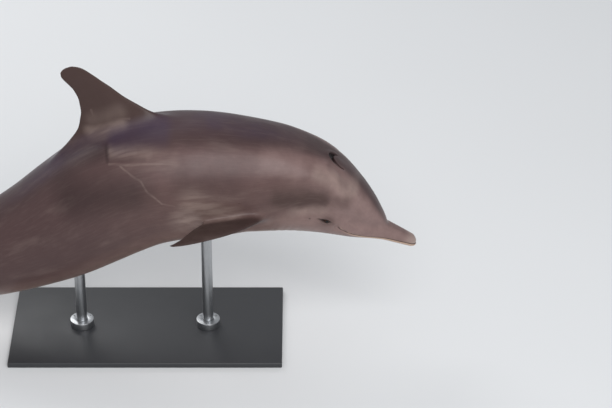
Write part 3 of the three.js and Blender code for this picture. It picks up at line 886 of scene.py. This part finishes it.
class Finish:
    """A material's nodes, made one after another."""

    def __init__(self, name):
        self.material = bpy.data.materials.new(name)
        self.material.use_nodes = True
        self.nodes = self.material.node_tree.nodes
        self.links = self.material.node_tree.links
        self.shader = self.nodes["Principled BSDF"]
        self.place = self.add("TexCoord", {}).outputs["Object"]

    def put(self, socket, value):
        if isinstance(value, bpy.types.NodeSocket):
            self.links.new(value, socket)
        elif socket.type == "RGBA" and len(value) == 3:
            socket.default_value = (*value, 1)
        else:
            socket.default_value = value

    def add(self, kind, inputs, **settings):
        """A new node, with its settings and what goes into its sockets."""
        node = self.nodes.new("ShaderNode" + kind)
        for name, value in settings.items():
            setattr(node, name, value)
        for key, value in inputs.items():
            self.put(node.inputs[key], value)
        return node

    def math(self, operation, first, second, clamp=False):
        return self.add("Math", {0: first, 1: second}, operation=operation, use_clamp=clamp).outputs[0]

    def multiply(self, first, *others):
        for other in others:
            first = self.math("MULTIPLY", first, other)
        return first

    def tint(self, base, colour, *shares):
        """The base with a colour over it, as strong as the shares multiplied."""
        inputs = {0: self.multiply(*shares), 6: base, 7: colour}
        return self.add("Mix", inputs, data_type="RGBA").outputs[2]

    def attribute(self, name):
        return self.add("Attribute", {}, attribute_name=name).outputs["Fac"]

    def stretched(self, scale, place=None):
        return self.add("Mapping", {"Vector": place or self.place, "Scale": scale}).outputs[0]

    def across(self):
        """A place's distance to the left of the animal's middle."""
        return self.add("SeparateXYZ", {0: self.place}).outputs[1]

    def round_body(self, girth):
        """A place by its distance along the animal and round it, with its side."""
        around = self.multiply(self.attribute("turn"), girth)
        return self.add("CombineXYZ", {0: self.attribute("along"), 1: around, 2: self.across()}).outputs[0]

    def noise(self, scale, detail, roughness=0.5, place=None, output=0):
        inputs = {"Vector": place or self.place, "Scale": scale, "Detail": detail, "Roughness": roughness}
        return self.add("TexNoise", inputs).outputs[output]

    def between(self, value, low, high, to_low=0.0, to_high=1.0):
        """A value brought from one range to another, softly at both ends."""
        inputs = {"Value": value, "From Min": low, "From Max": high, "To Min": to_low, "To Max": to_high}
        return self.add("MapRange", inputs, interpolation_type="SMOOTHSTEP").outputs[0]

    def ramp(self, value, stops):
        node = self.add("ValToRGB", {0: value})
        node.color_ramp.interpolation = "EASE"
        elements = node.color_ramp.elements
        while len(elements) < len(stops):
            elements.new(0.5)
        for element, (position, colour) in zip(elements, stops):
            element.position = position
            element.color = (*colour, 1)
        return node.outputs[0]

    def bump(self, height, distance, strength, under=None):
        inputs = {"Height": height, "Distance": distance, "Strength": strength}
        if under is not None:
            inputs["Normal"] = under
        return self.add("Bump", inputs).outputs[0]

    def vector(self, operation, first, second):
        key = "Scale" if operation == "SCALE" else 1
        node = self.add("VectorMath", {0: first, key: second}, operation=operation)
        return node.outputs["Value" if operation in ("DOT_PRODUCT", "DISTANCE") else "Vector"]

    def side_view(self, wobble):
        """A place's x and z, with a wobble so that no line on it is straight."""
        waves = self.vector("SUBTRACT", self.noise(11, 3, output="Color"), (0.5, 0.5, 0.5))
        moved = self.vector("ADD", self.place, self.vector("SCALE", waves, wobble))
        return self.vector("MULTIPLY", moved, (1, 0, 1))

    def strokes(self, flat, paths, core=0.0):
        """Strokes through points of x and z: each path has its points, half width and strength."""
        total = 0.0
        for points, width, strength in paths:
            for start, end in zip(points, points[1:]):
                begin = Vector((start[0], 0, start[1]))
                run = Vector((end[0], 0, end[1])) - begin
                away = self.vector("SUBTRACT", flat, begin)
                share = self.math("DIVIDE", self.vector("DOT_PRODUCT", away, run), run.length_squared, True)
                off = self.vector("DISTANCE", away, self.vector("SCALE", run, share))
                total = self.math("MAXIMUM", total, self.between(off, width, width * core, 0, strength))
        return total

    def finish(self, colour, roughness, normal=None, **sockets):
        self.put(self.shader.inputs["Base Color"], colour)
        self.put(self.shader.inputs["Roughness"], roughness)
        if normal is not None:
            self.put(self.shader.inputs["Normal"], normal)
        for name, value in sockets.items():
            socket = name.replace("_", " ").title().replace("Ior", "IOR")
            self.shader.inputs[socket].default_value = value
        return self.material


def shade(red, green, blue):
    """A colour in the numbers that a paint chart gives, as Blender keeps it."""
    share = [value / 255 for value in (red, green, blue)]
    return tuple(v / 12.92 if v <= 0.04045 else ((v + 0.055) / 1.055) ** 2.4 for v in share)


def skin_finish(look):
    """Wet dolphin skin: dark back, lighter sides, pale belly, with lips, scars and fine wrinkles, and
    painted shade, highlights and reflections.
    """
    f = Finish("dolphin_skin")
    along, turn, fin = f.attribute("along"), f.attribute("turn"), f.attribute("fin")
    wander = f.noise(5, 3, 0.55)
    level = f.math("ADD", turn, f.multiply(f.math("SUBTRACT", wander, 0.5), 0.12))
    body = f.ramp(level, [
        (0.0, look.back_colour), (0.13, look.back_colour), (0.23, look.side_colour),
        (0.31, look.side_colour), (0.43, look.flank_colour), (0.60, look.flank_colour),
        (0.74, look.low_colour), (0.93, look.belly_colour),
    ])
    body = head_colours(f, look, body, along, turn)
    body = trunk_colours(f, look, body, along, turn, wander)
    body = f.tint(body, look.fin_colour, fin)
    # Painted shade darkens the flippers further than the other fins.
    body = f.tint(body, look.shade_and_mark_colour, fin, f.between(turn, 0.25, 0.40, 0, 0.30))
    body = skin_wear(f, look, body, turn, fin)
    # Lips, and painted shade inside creases and openings.
    body = f.tint(body, look.lip_colour, f.attribute("lower_lip"), 0.8)
    body = f.tint(body, look.lip_colour, f.attribute("upper_lip"), 0.25)
    body = f.tint(body, look.shade_and_mark_colour, f.attribute("opening_shade"))
    wrinkles = f.noise(90, 4, 0.55, f.stretched((1, 1.6, 0.6), f.round_body(HALF_GIRTH)))
    pores = f.noise(420, 2)
    normal = f.bump(pores, 0.00025, 0.3, f.bump(wrinkles, 0.0006, 0.35))
    roughness = f.between(f.noise(9, 4, 0.6), 0.3, 0.7, look.gloss - 0.05, look.gloss + 0.09)
    return f.finish(
        body, roughness, normal, coat_weight=look.wetness, coat_roughness=0.22, ior=1.40,
        specular_ior_level=0.3,
    )


def head_colours(f, look, body, along, turn):
    """The head's side is paler than the trunk, the beak's end palest and the crown dark, with painted shade
    and highlights across the neck and on the melon.
    """
    cheek = f.between(along, 0.58, 0.32, 0, 0.75)
    body = f.tint(body, look.head_colour, cheek, f.between(turn, 0.10, 0.27))
    body = f.tint(body, look.beak_colour, f.between(along, 0.20, 0.10, 0, 0.75))
    body = f.tint(body, look.belly_colour, f.between(along, 0.06, 0.0), 0.65)
    crown = f.multiply(f.between(turn, 0.20, 0.08, 0, 0.26), f.between(along, 0.30, 0.42))
    body = f.tint(body, look.shade_and_mark_colour, crown, f.between(along, 0.85, 0.60))
    flat = f.side_view(0.05)
    # Painted shade across the neck with painted highlights above and below it, then painted shade in the
    # melon's crease and a painted highlight on its ridge.
    body = f.tint(body, look.fin_colour, f.strokes(flat, NECK_SHADE_BAND, core=0.1))
    body = f.tint(body, look.head_colour, f.strokes(flat, LIGHT_ABOVE_NECK_SHADE))
    body = f.tint(body, look.scar_and_highlight_colour, f.strokes(flat, LIGHT_BELOW_NECK_SHADE))
    body = f.tint(body, look.back_colour, f.strokes(flat, MELON_SHADE))
    body = f.tint(body, look.scar_and_highlight_colour, f.strokes(flat, MELON_RIDGE_HIGHLIGHT))
    return f.tint(body, look.fin_colour, f.attribute("eye_patch"), 0.6)


def trunk_colours(f, look, body, along, turn, wander):
    """The rear flank is dark, and a painted bluish sky reflection lies along the crown of the back."""
    rear = f.between(along, 0.82, 1.25, 0, 0.75)
    body = f.tint(body, look.back_colour, rear, f.between(turn, 0.85, 0.5))
    # Painted sky reflection along the crown of the back.
    crown = f.multiply(f.between(turn, 0.16, 0.05), f.between(wander, 0.35, 0.65, 0.4, 1.0))
    behind_head, ahead_of_tail = f.between(along, 0.45, 0.70), f.between(along, 1.6, 1.2, 0, 0.5)
    return f.tint(body, look.sky_reflection_colour, crown, behind_head, ahead_of_tail)


def skin_wear(f, look, body, turn, fin):
    """Mottling and streaks all over, then scratches, pale patches with a painted highlight, a painted
    bluish reflection, and dark marks with painted shade.
    """
    round_body = f.round_body(HALF_GIRTH)
    streaks = f.noise(10, 4, 0.6, f.stretched((0.5, 1.4, 1), round_body))
    fine_streaks = f.noise(75, 4, 0.65, f.stretched((0.22, 2.2, 0.6), round_body))
    smears = f.noise(30, 3, 0.5, f.stretched((0.35, 1.6, 0.6), round_body))
    on_body = f.between(fin, 0.8, 0.1, 0.1, 1.0)
    body = f.tint(body, look.back_colour, f.between(f.noise(26, 5, 0.6), 0.35, 0.7, 0, 0.22))
    body = f.tint(body, look.scar_and_highlight_colour, f.between(streaks, 0.5, 0.8, 0, 0.14))
    body = f.tint(body, look.scar_and_highlight_colour, f.between(fine_streaks, 0.45, 0.75, 0, 0.06), on_body)
    body = f.tint(body, look.back_colour, f.between(fine_streaks, 0.45, 0.25, 0, 0.08), on_body)
    body = f.tint(body, look.scar_and_highlight_colour, f.between(f.noise(210, 3, 0.6), 0.60, 0.80, 0, 0.06))
    flat = f.side_view(0.014)
    right = f.between(f.across(), 0.004, -0.004)
    left = f.math("SUBTRACT", 1.0, right)
    on_right = f.math("MAXIMUM", f.strokes(flat, RIGHT_SCRATCHES, 0.2), f.strokes(flat, RIGHT_RUBS_AND_HIGHLIGHT))
    on_left = f.multiply(f.strokes(flat, LEFT_SCRATCHES, 0.2), left)
    pale = f.math("MAXIMUM", f.multiply(on_right, right), on_left)
    patchy = f.between(smears, 0.35, 0.62, 0.35, 1.0)
    off_flippers = f.math("MAXIMUM", on_body, f.between(turn, 0.20, 0.10))
    body = f.tint(body, look.scar_and_highlight_colour, pale, patchy, off_flippers)
    # Painted bluish reflection on a patch by the dorsal fin's root, on the right.
    body = f.tint(body, look.sky_reflection_colour, f.strokes(flat, RIGHT_BLUISH_REFLECTION), right, on_body)
    # Dark marks, and painted shade above the pale patch low on the flank, on the right.
    return f.tint(body, look.shade_and_mark_colour, f.strokes(flat, RIGHT_MARKS_AND_SHADE), right, on_body)


HALF_GIRTH = 0.65  # from the back round to the belly, in metres, for the skin's grain

# Painted shade, highlights and reflections, and marks on the skin: points of x and z in metres, half a
# width and a strength.
# A broad band of painted shade lies across the neck, low on the side, with painted highlights above and
# below it.
NECK_SHADE_BAND = [
    ([(0.480, 0.652), (0.567, 0.640), (0.610, 0.630)], 0.064, 0.90),
    ([(0.610, 0.630), (0.700, 0.604)], 0.046, 0.45),
]
LIGHT_ABOVE_NECK_SHADE = [([(0.440, 0.775), (0.530, 0.755)], 0.060, 0.45)]
LIGHT_BELOW_NECK_SHADE = [([(0.530, 0.592), (0.620, 0.577)], 0.040, 0.30)]
# A painted highlight runs down the melon's side along its ridge, with painted shade in the crease above it.
MELON_SHADE = [([(0.649, 0.726), (0.697, 0.674), (0.767, 0.607)], 0.024, 0.40)]
MELON_RIDGE_HIGHLIGHT = [([(0.600, 0.722), (0.666, 0.677), (0.724, 0.629)], 0.034, 0.40)]
# Old scratches, pale patches with a band of painted highlight, a painted bluish reflection, and dark marks
# with painted shade, of one side or the other.
RIGHT_SCRATCHES = [
    ([(-0.100, 0.771), (0.006, 0.784), (0.114, 0.790)], 0.0050, 0.24),
    ([(-0.062, 0.772), (0.007, 0.736), (0.032, 0.701), (0.079, 0.665), (0.120, 0.655)], 0.0052, 0.25),
    ([(-0.165, 0.905), (-0.158, 0.880), (-0.135, 0.869), (-0.036, 0.879)], 0.0070, 0.22),
]
RIGHT_RUBS_AND_HIGHLIGHT = [
    # A pale band along the flank, partly a scar and partly painted highlight.
    ([(-0.094, 0.797), (-0.050, 0.805)], 0.021, 0.42),
    ([(-0.050, 0.805), (-0.010, 0.811)], 0.023, 0.36),
    ([(-0.010, 0.811), (0.040, 0.810)], 0.027, 0.29),
    ([(0.040, 0.810), (0.120, 0.800)], 0.032, 0.20),
    # Pale patches at the dorsal fin's root and low on the flank.
    ([(-0.170, 0.826), (-0.064, 0.863)], 0.036, 0.34),
    ([(-0.150, 0.872), (-0.070, 0.900)], 0.050, 0.24),
    ([(0.185, 0.655), (0.246, 0.622), (0.290, 0.600)], 0.090, 0.46),
    ([(0.160, 0.590), (0.220, 0.575)], 0.085, 0.50),
]
LEFT_SCRATCHES = [
    ([(0.180, 0.760), (0.060, 0.735), (-0.060, 0.700)], 0.0040, 0.30),
    ([(0.190, 0.745), (0.070, 0.720), (-0.030, 0.690)], 0.0036, 0.25),
    ([(-0.320, 0.560), (-0.250, 0.610)], 0.0050, 0.25),
    ([(0.330, 0.640), (0.390, 0.600)], 0.0070, 0.22),
]
# Painted bluish reflection by the dorsal fin's root.
RIGHT_BLUISH_REFLECTION = [([(-0.085, 0.824), (0.000, 0.846), (0.080, 0.858)], 0.044, 0.44)]
RIGHT_MARKS_AND_SHADE = [
    ([(-0.230, 0.655), (-0.100, 0.686), (-0.020, 0.698)], 0.110, 0.46),
    ([(-0.110, 0.736), (-0.059, 0.719)], 0.070, 0.22),
    ([(-0.112, 0.800), (-0.106, 0.778)], 0.012, 0.42),
    ([(-0.100, 0.783), (0.020, 0.796)], 0.012, 0.20),
    ([(-0.260, 0.745), (-0.140, 0.785)], 0.045, 0.20),
    # Painted shade above the pale patch low on the flank.
    ([(0.150, 0.738), (0.320, 0.724)], 0.075, 0.24),
]


def eye_finish(look):
    """A dark brown eye with a darker pupil, under a clear wet surface."""
    f = Finish("dolphin_eye")
    ring = f.attribute("from_pupil")
    colour = f.tint(look.iris_colour, look.pupil_colour, f.between(f.noise(700, 3, 0.6), 0.3, 0.7, 0, 0.5))
    colour = f.tint(colour, look.pupil_colour, f.between(ring, 0.40, 0.30))
    colour = f.tint(colour, look.white_colour, f.between(ring, 0.80, 0.95))
    return f.finish(
        colour, 0.25, coat_weight=1.0, coat_roughness=0.03, coat_ior=1.36, specular_ior_level=0.0
    )


def base_finish(look):
    """Charcoal powder coat with a fine orange-peel surface."""
    f = Finish("stand_base_paint")
    cloud = f.noise(7, 3)
    colour = f.tint(look.base_colour, look.base_worn_colour, f.between(cloud, 0.3, 0.7, 0, 0.25))
    return f.finish(colour, f.between(cloud, 0.3, 0.7, 0.42, 0.5), f.bump(f.noise(900, 2), 0.0002, 0.35))


def steel_finish(look):
    """Brushed stainless steel, brushed along the rods' height."""
    f = Finish("stand_steel")
    brushing = f.noise(60, 3, 0.6, f.stretched((40, 40, 1.2)))
    colour = f.tint(look.steel_colour, look.steel_dark_colour, f.between(brushing, 0.35, 0.65, 0, 0.5))
    roughness = f.between(brushing, 0.35, 0.65, 0.27, 0.40)
    return f.finish(colour, roughness, f.bump(brushing, 0.00015, 0.3), metallic=1.0)


def floor_finish(look):
    """Plain matt studio floor, with the faintest cloudiness."""
    f = Finish("studio_floor")
    colour = f.tint(look.floor_colour, FLOOR_SHADE, f.between(f.noise(0.6, 2), 0.3, 0.7, 0, 0.06))
    return f.finish(colour, 0.85, specular_ior_level=0.2)


# --- Sizes and colours that a user would change -----------------------------------------------------

def colour_property(name, description, *numbers):
    return bpy.props.FloatVectorProperty(
        name=name, description=description, subtype="COLOR", size=3, min=0, max=1, default=shade(*numbers)
    )


def number_property(name, description, default, low, high, **more):
    return bpy.props.FloatProperty(
        name=name, description=description, default=default, min=low, max=high, **more
    )


def length_property(name, description, default, low, high):
    return number_property(name, description, default, low, high, unit="LENGTH", precision=4)


class DolphinSkinLook(bpy.types.PropertyGroup):
    back_colour: colour_property("Back", "Dark skin of the back", 72, 54, 54)
    side_colour: colour_property("Side", "Lighter skin below the back", 98, 75, 73)
    flank_colour: colour_property("Flank", "Skin of the middle of the side", 92, 71, 68)
    low_colour: colour_property("Low side", "Skin low on the side", 124, 101, 95)
    belly_colour: colour_property("Belly", "Pale skin of the belly and throat", 186, 168, 158)
    head_colour: colour_property("Head", "Skin at the side of the head", 142, 118, 114)
    beak_colour: colour_property("Beak", "Skin of the beak", 126, 104, 100)
    fin_colour: colour_property("Fins", "Skin of the fins and flukes", 68, 51, 47)
    # Painted sky reflection along the top of the back and on a patch by the dorsal fin's root.
    sky_reflection_colour: colour_property("Crown", "Bluish tint along the top of the back", 66, 55, 74)
    lip_colour: colour_property("Lips", "Pale edge of the lower lip", 196, 168, 148)
    # Scars and rubbed places, and also painted highlights on the melon, under the neck's shade and on the
    # flank.
    scar_and_highlight_colour: colour_property("Scars", "Healed scratches and rubbed places", 160, 141, 132)
    # Painted shade in the blowhole, mouth groove, lids, ear hole, on the flippers and low on the flank;
    # also dark marks and the dark crown over the head.
    shade_and_mark_colour: colour_property("Openings", "Inside the blowhole, mouth and lids", 26, 18, 19)
    gloss: number_property("Roughness", "Roughness of the wet skin", 0.40, 0.1, 0.8)
    wetness: number_property("Wetness", "Strength of the film of water", 0.08, 0, 1)
    dorsal_root: length_property(
        "Dorsal root", "Rounding where the dorsal fin meets the back", 0.050, 0.005, 0.08
    )
    flipper_root: length_property(
        "Flipper root", "Rounding where a flipper meets the chest", 0.028, 0.005, 0.06
    )
    fluke_root: length_property(
        "Fluke root", "Rounding where the flukes meet the tail", 0.026, 0.005, 0.05
    )


EYE_LOW, EYE_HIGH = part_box("eye_left")


class DolphinEyeLook(bpy.types.PropertyGroup):
    radius: length_property(
        "Eyeball radius", "Radius of the eyeball", (EYE_HIGH.x - EYE_LOW.x) / 2, 0.005, 0.03
    )
    iris_colour: colour_property("Iris", "Brown of the eye", 58, 38, 26)
    pupil_colour: colour_property("Pupil", "Dark middle of the eye", 8, 7, 8)
    white_colour: colour_property("Rim", "Edge of the eye beyond the iris", 92, 76, 70)


class DolphinStandLook(bpy.types.PropertyGroup):
    base_bevel: length_property(
        "Base edge", "Rounding of the base plate's edges", 0.004, 0.001, 0.009
    )
    screw_radius: length_property(
        "Screw radius", "Radius of the collars' screw heads", 0.0045, 0.002, 0.006
    )
    base_colour: colour_property("Base", "Paint of the base plate", 48, 49, 52)
    base_worn_colour: colour_property("Base, worn", "Paint where it has dulled", 58, 59, 62)
    steel_colour: colour_property("Steel", "Steel of rods and collars", 186, 188, 190)
    steel_dark_colour: colour_property("Steel, dark", "Darker brush lines in the steel", 150, 152, 156)


class DolphinStageLook(bpy.types.PropertyGroup):
    floor_colour: colour_property("Floor", "Colour of the studio floor", 226, 227, 228)
    key_power: number_property(
        "Key light", "Power of the large lamp on the camera's side", 240, 0, 5000, unit="POWER"
    )
    fill_power: number_property(
        "Fill light", "Power of the lamp over the tail", 90, 0, 5000, unit="POWER"
    )
    sky: number_property("Room light", "Strength of the light from all round", 0.5, 0, 2)
    lens: number_property("Lens", "Focal length of the camera", 151.3, 20, 400)


# --- Operators --------------------------------------------------------------------------------------

FLESH = [
    "beak_upper", "jaw_lower", "head", "neck", "trunk_front", "trunk_rear", "tail_stock", "dorsal_fin",
    "flipper_left", "flipper_right", "fluke_left", "fluke_right",
]


def complete(piece, finish, slot, *nodes):
    """Gives a piece its material and its body, and hides the nodes that it stands for. The slot is not
    used.
    """
    piece.data.materials.clear()
    piece.data.materials.append(finish)
    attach(piece, "root")
    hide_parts(*nodes)


class MODEL_OT_dolphin_skin(bpy.types.Operator):
    """Build the dolphin's skin: body, head, fins and flukes in one surface"""

    bl_idname = "model.dolphin_skin"
    bl_label = "Dolphin Skin"
    bl_options = {"REGISTER", "UNDO"}

    def execute(self, context):
        look = context.scene.dolphin_skin_look
        skin = make_body()
        divide_details(skin)
        fold_skin(skin)
        join_fins(skin, look)
        mark_skin(skin)
        make_active(skin)
        bpy.ops.object.shade_smooth()
        complete(skin, skin_finish(look), "skin", *FLESH)
        return {"FINISHED"}


class MODEL_OT_dolphin_eyes(bpy.types.Operator):
    """Build both eyeballs in their sockets"""

    bl_idname = "model.dolphin_eyes"
    bl_label = "Dolphin Eyes"
    bl_options = {"REGISTER", "UNDO"}

    def execute(self, context):
        look = context.scene.dolphin_eye_look
        finish = eye_finish(look)
        for name, side in (("left", 1), ("right", -1)):
            centre = eye_frame(side)[0] * MM
            clear_selection()
            bpy.ops.mesh.primitive_uv_sphere_add(
                segments=48, ring_count=32, radius=look.radius, location=centre,
                rotation=(math.radians(-90 * side), 0, 0),
            )
            ball = placed(f"eyeball_{name}")
            bpy.ops.object.shade_smooth()
            outward = (coordinates(ball)[:, 1] * MM - centre[1]) * side
            mark(ball, "from_pupil", np.arccos(np.clip(outward / look.radius, -1, 1)))
            complete(ball, finish, "eye", f"eye_{name}")
        return {"FINISHED"}


class MODEL_OT_dolphin_stand(bpy.types.Operator):
    """Build the base plate, the rods and their collars"""

    bl_idname = "model.dolphin_stand"
    bl_label = "Display Stand"
    bl_options = {"REGISTER", "UNDO"}

    def execute(self, context):
        look = context.scene.dolphin_stand_look
        paint, steel = base_finish(look), steel_finish(look)
        complete(make_base(look), paint, "stand_base", "stand_base")
        for name in ("front", "rear"):
            complete(make_rod(name), steel, "stand_steel", f"stand_rod_{name}")
            complete(make_collar(name, look), steel, "stand_steel", f"stand_collar_{name}")
        return {"FINISHED"}


# The stand's small sizes, in metres.
ROD_GAP = 0.0003  # between a rod and what it touches
COLLAR_BEVEL = 0.0016
SCREWS = 3  # on each collar
SCREW_GAP = 0.0008
SCREW_HOLE_DEPTH = 0.007
SCREW_HEAD_HEIGHT = 0.0038
SCREW_HEAD_DROP = 0.0024  # from the collar's top to the middle of the head
SCREW_BEVEL = 0.0003
SOCKET_SHARE = 0.55  # of the head's radius
SOCKET_DEPTH = 0.006


def bevel_edges(piece, width, segments=3):
    apply_modifier(
        piece, "BEVEL", width=width, segments=segments, limit_method="ANGLE",
        angle_limit=math.radians(40),
    )
    bpy.ops.object.shade_smooth_by_angle(angle=math.radians(35))


def make_base(look):
    low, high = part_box("stand_base")
    clear_selection()
    bpy.ops.mesh.primitive_cube_add(size=1, location=(low + high) / 2, scale=high - low)
    base = placed("stand_base_plate")
    bevel_edges(base, look.base_bevel, segments=4)
    return base


def make_rod(name):
    """A rod whose top is cut to the animal's underside."""
    low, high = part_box(f"stand_rod_{name}")
    middle = (low + high) / 2
    rod = add_cylinder(f"stand_rod_{name}_steel", middle, (high.x - low.x) / 2, high.z - low.z)
    for vertex in rod.data.vertices:
        if vertex.co.z > middle.z:
            vertex.co.z = torso_underside(vertex.co.x / MM, vertex.co.y / MM) * MM - ROD_GAP
    make_active(rod)
    bpy.ops.object.shade_smooth_by_angle(angle=math.radians(50))
    return rod


def make_collar(name, look):
    """A collar round a rod's foot, with screws sunk in its top."""
    low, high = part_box(f"stand_collar_{name}")
    rod_low, rod_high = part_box(f"stand_rod_{name}")
    middle, height = (low + high) / 2, high.z - low.z
    outer = (high.x - low.x) / 2
    bore = (rod_high.x - rod_low.x) / 2 + ROD_GAP
    collar = add_cylinder(f"stand_collar_{name}_steel", middle, outer, height)
    cut_round(collar, middle, bore, height + 0.01)
    bevel_edges(collar, COLLAR_BEVEL)
    reach = (outer + bore) / 2
    for step in range(SCREWS):
        angle = 2 * math.pi * step / SCREWS - math.pi / 2
        aside = Vector((math.cos(angle), math.sin(angle), 0)) * reach
        add_screw(collar, Vector((middle.x, middle.y, high.z)) + aside, look.screw_radius)
    return collar


def cut_round(piece, centre, radius, depth, sides=64):
    cutter = add_cylinder("cutter", centre, radius, depth, sides)
    apply_modifier(piece, "BOOLEAN", operation="DIFFERENCE", solver="EXACT", object=cutter)
    bpy.data.objects.remove(cutter)


def add_screw(piece, spot, radius):
    """A cap screw's head, sunk in the piece with its six-sided socket open."""
    middle = spot - Vector((0, 0, SCREW_HEAD_DROP))
    cut_round(piece, spot, radius + SCREW_GAP, SCREW_HOLE_DEPTH, sides=32)
    head = add_cylinder("screw", middle, radius, SCREW_HEAD_HEIGHT, sides=32)
    cut_round(head, spot, radius * SOCKET_SHARE, SOCKET_DEPTH, sides=6)
    bevel_edges(head, SCREW_BEVEL, segments=2)
    make_active(piece)
    head.select_set(True)
    bpy.ops.object.join()


FLOOR_SIZE = 60
FLOOR_SHADE = (0.6, 0.6, 0.6)
SKY_COLOUR = (0.93, 0.96, 1.0, 1)
KEY_SPREAD = 120  # degrees: kept in, so that the floor right under the lamp isn't bleached
CAMERA_SPOT = (0.5638, -7.563, 5.2526)
CAMERA_TILT = 58  # degrees up from straight down
CAMERA_SENSOR = 36  # width in millimetres
CAMERA_REACH = 200


class MODEL_OT_dolphin_stage(bpy.types.Operator):
    """Set up the floor, the soft lights and the camera"""

    bl_idname = "model.dolphin_stage"
    bl_label = "Studio Stage"
    bl_options = {"REGISTER", "UNDO"}

    def execute(self, context):
        look = context.scene.dolphin_stage_look
        clear_selection()
        bpy.ops.mesh.primitive_plane_add(size=FLOOR_SIZE, location=(0, 0, 0))
        floor = context.object
        floor.name = "floor"
        floor.data.materials.append(floor_finish(look))

        world = bpy.data.worlds.new("studio")
        context.scene.world = world
        world.use_nodes = True
        background = world.node_tree.nodes["Background"]
        background.inputs["Color"].default_value = SKY_COLOUR
        background.inputs["Strength"].default_value = look.sky

        add_lamp("key", (1.8, -5.9, 6.2), (0.1, 0, 0.5), look.key_power, size=7.0, spread=KEY_SPREAD)
        add_lamp("fill", (-2.4, 3.8, 4.0), (-0.2, 0, 0.5), look.fill_power, size=3.5)

        clear_selection()
        bpy.ops.object.camera_add(location=CAMERA_SPOT, rotation=(math.radians(CAMERA_TILT), 0, 0))
        camera = context.object
        camera.name = "camera"
        camera.data.lens = look.lens
        camera.data.sensor_width = CAMERA_SENSOR
        camera.data.clip_end = CAMERA_REACH
        context.scene.camera = camera
        context.scene.view_settings.view_transform = "Standard"
        return {"FINISHED"}


def add_lamp(name, spot, target, power, size, spread=180):
    """A round soft lamp at a spot, turned to a target, with its spread in degrees."""
    clear_selection()
    aim = (Vector(target) - Vector(spot)).to_track_quat("-Z", "Y").to_euler()
    bpy.ops.object.light_add(type="AREA", location=spot, rotation=aim)
    lamp = bpy.context.object
    lamp.name = f"lamp_{name}"
    lamp.data.energy = power
    lamp.data.shape = "DISK"
    lamp.data.size = size
    lamp.data.spread = math.radians(spread)


class VIEW3D_PT_dolphin(bpy.types.Panel):
    bl_label = "Bottlenose Dolphin"
    bl_idname = "VIEW3D_PT_dolphin"
    bl_space_type = "VIEW_3D"
    bl_region_type = "UI"
    bl_category = "Dolphin"

    def draw(self, context):
        for name, _, operator in PARTS:
            box = self.layout.box()
            look = getattr(context.scene, name)
            for key in look.bl_rna.properties.keys():
                if key not in ("rna_type", "name"):
                    box.prop(look, key)
            box.operator(operator.bl_idname)


PARTS = [
    ("dolphin_skin_look", DolphinSkinLook, MODEL_OT_dolphin_skin),
    ("dolphin_eye_look", DolphinEyeLook, MODEL_OT_dolphin_eyes),
    ("dolphin_stand_look", DolphinStandLook, MODEL_OT_dolphin_stand),
    ("dolphin_stage_look", DolphinStageLook, MODEL_OT_dolphin_stage),
]
CLASSES = [made for _, *pair in PARTS for made in pair] + [VIEW3D_PT_dolphin]


def register():
    for made in CLASSES:
        bpy.utils.register_class(made)
    for name, look, _ in PARTS:
        setattr(bpy.types.Scene, name, bpy.props.PointerProperty(type=look))


def unregister():
    for name, _, _ in PARTS:
        delattr(bpy.types.Scene, name)
    for made in reversed(CLASSES):
        bpy.utils.unregister_class(made)


def main():
    register()
    bpy.ops.model.dolphin_skin()
    bpy.ops.model.dolphin_eyes()
    bpy.ops.model.dolphin_stand()
    bpy.ops.model.dolphin_stage()


if __name__ == "__main__":
    main()
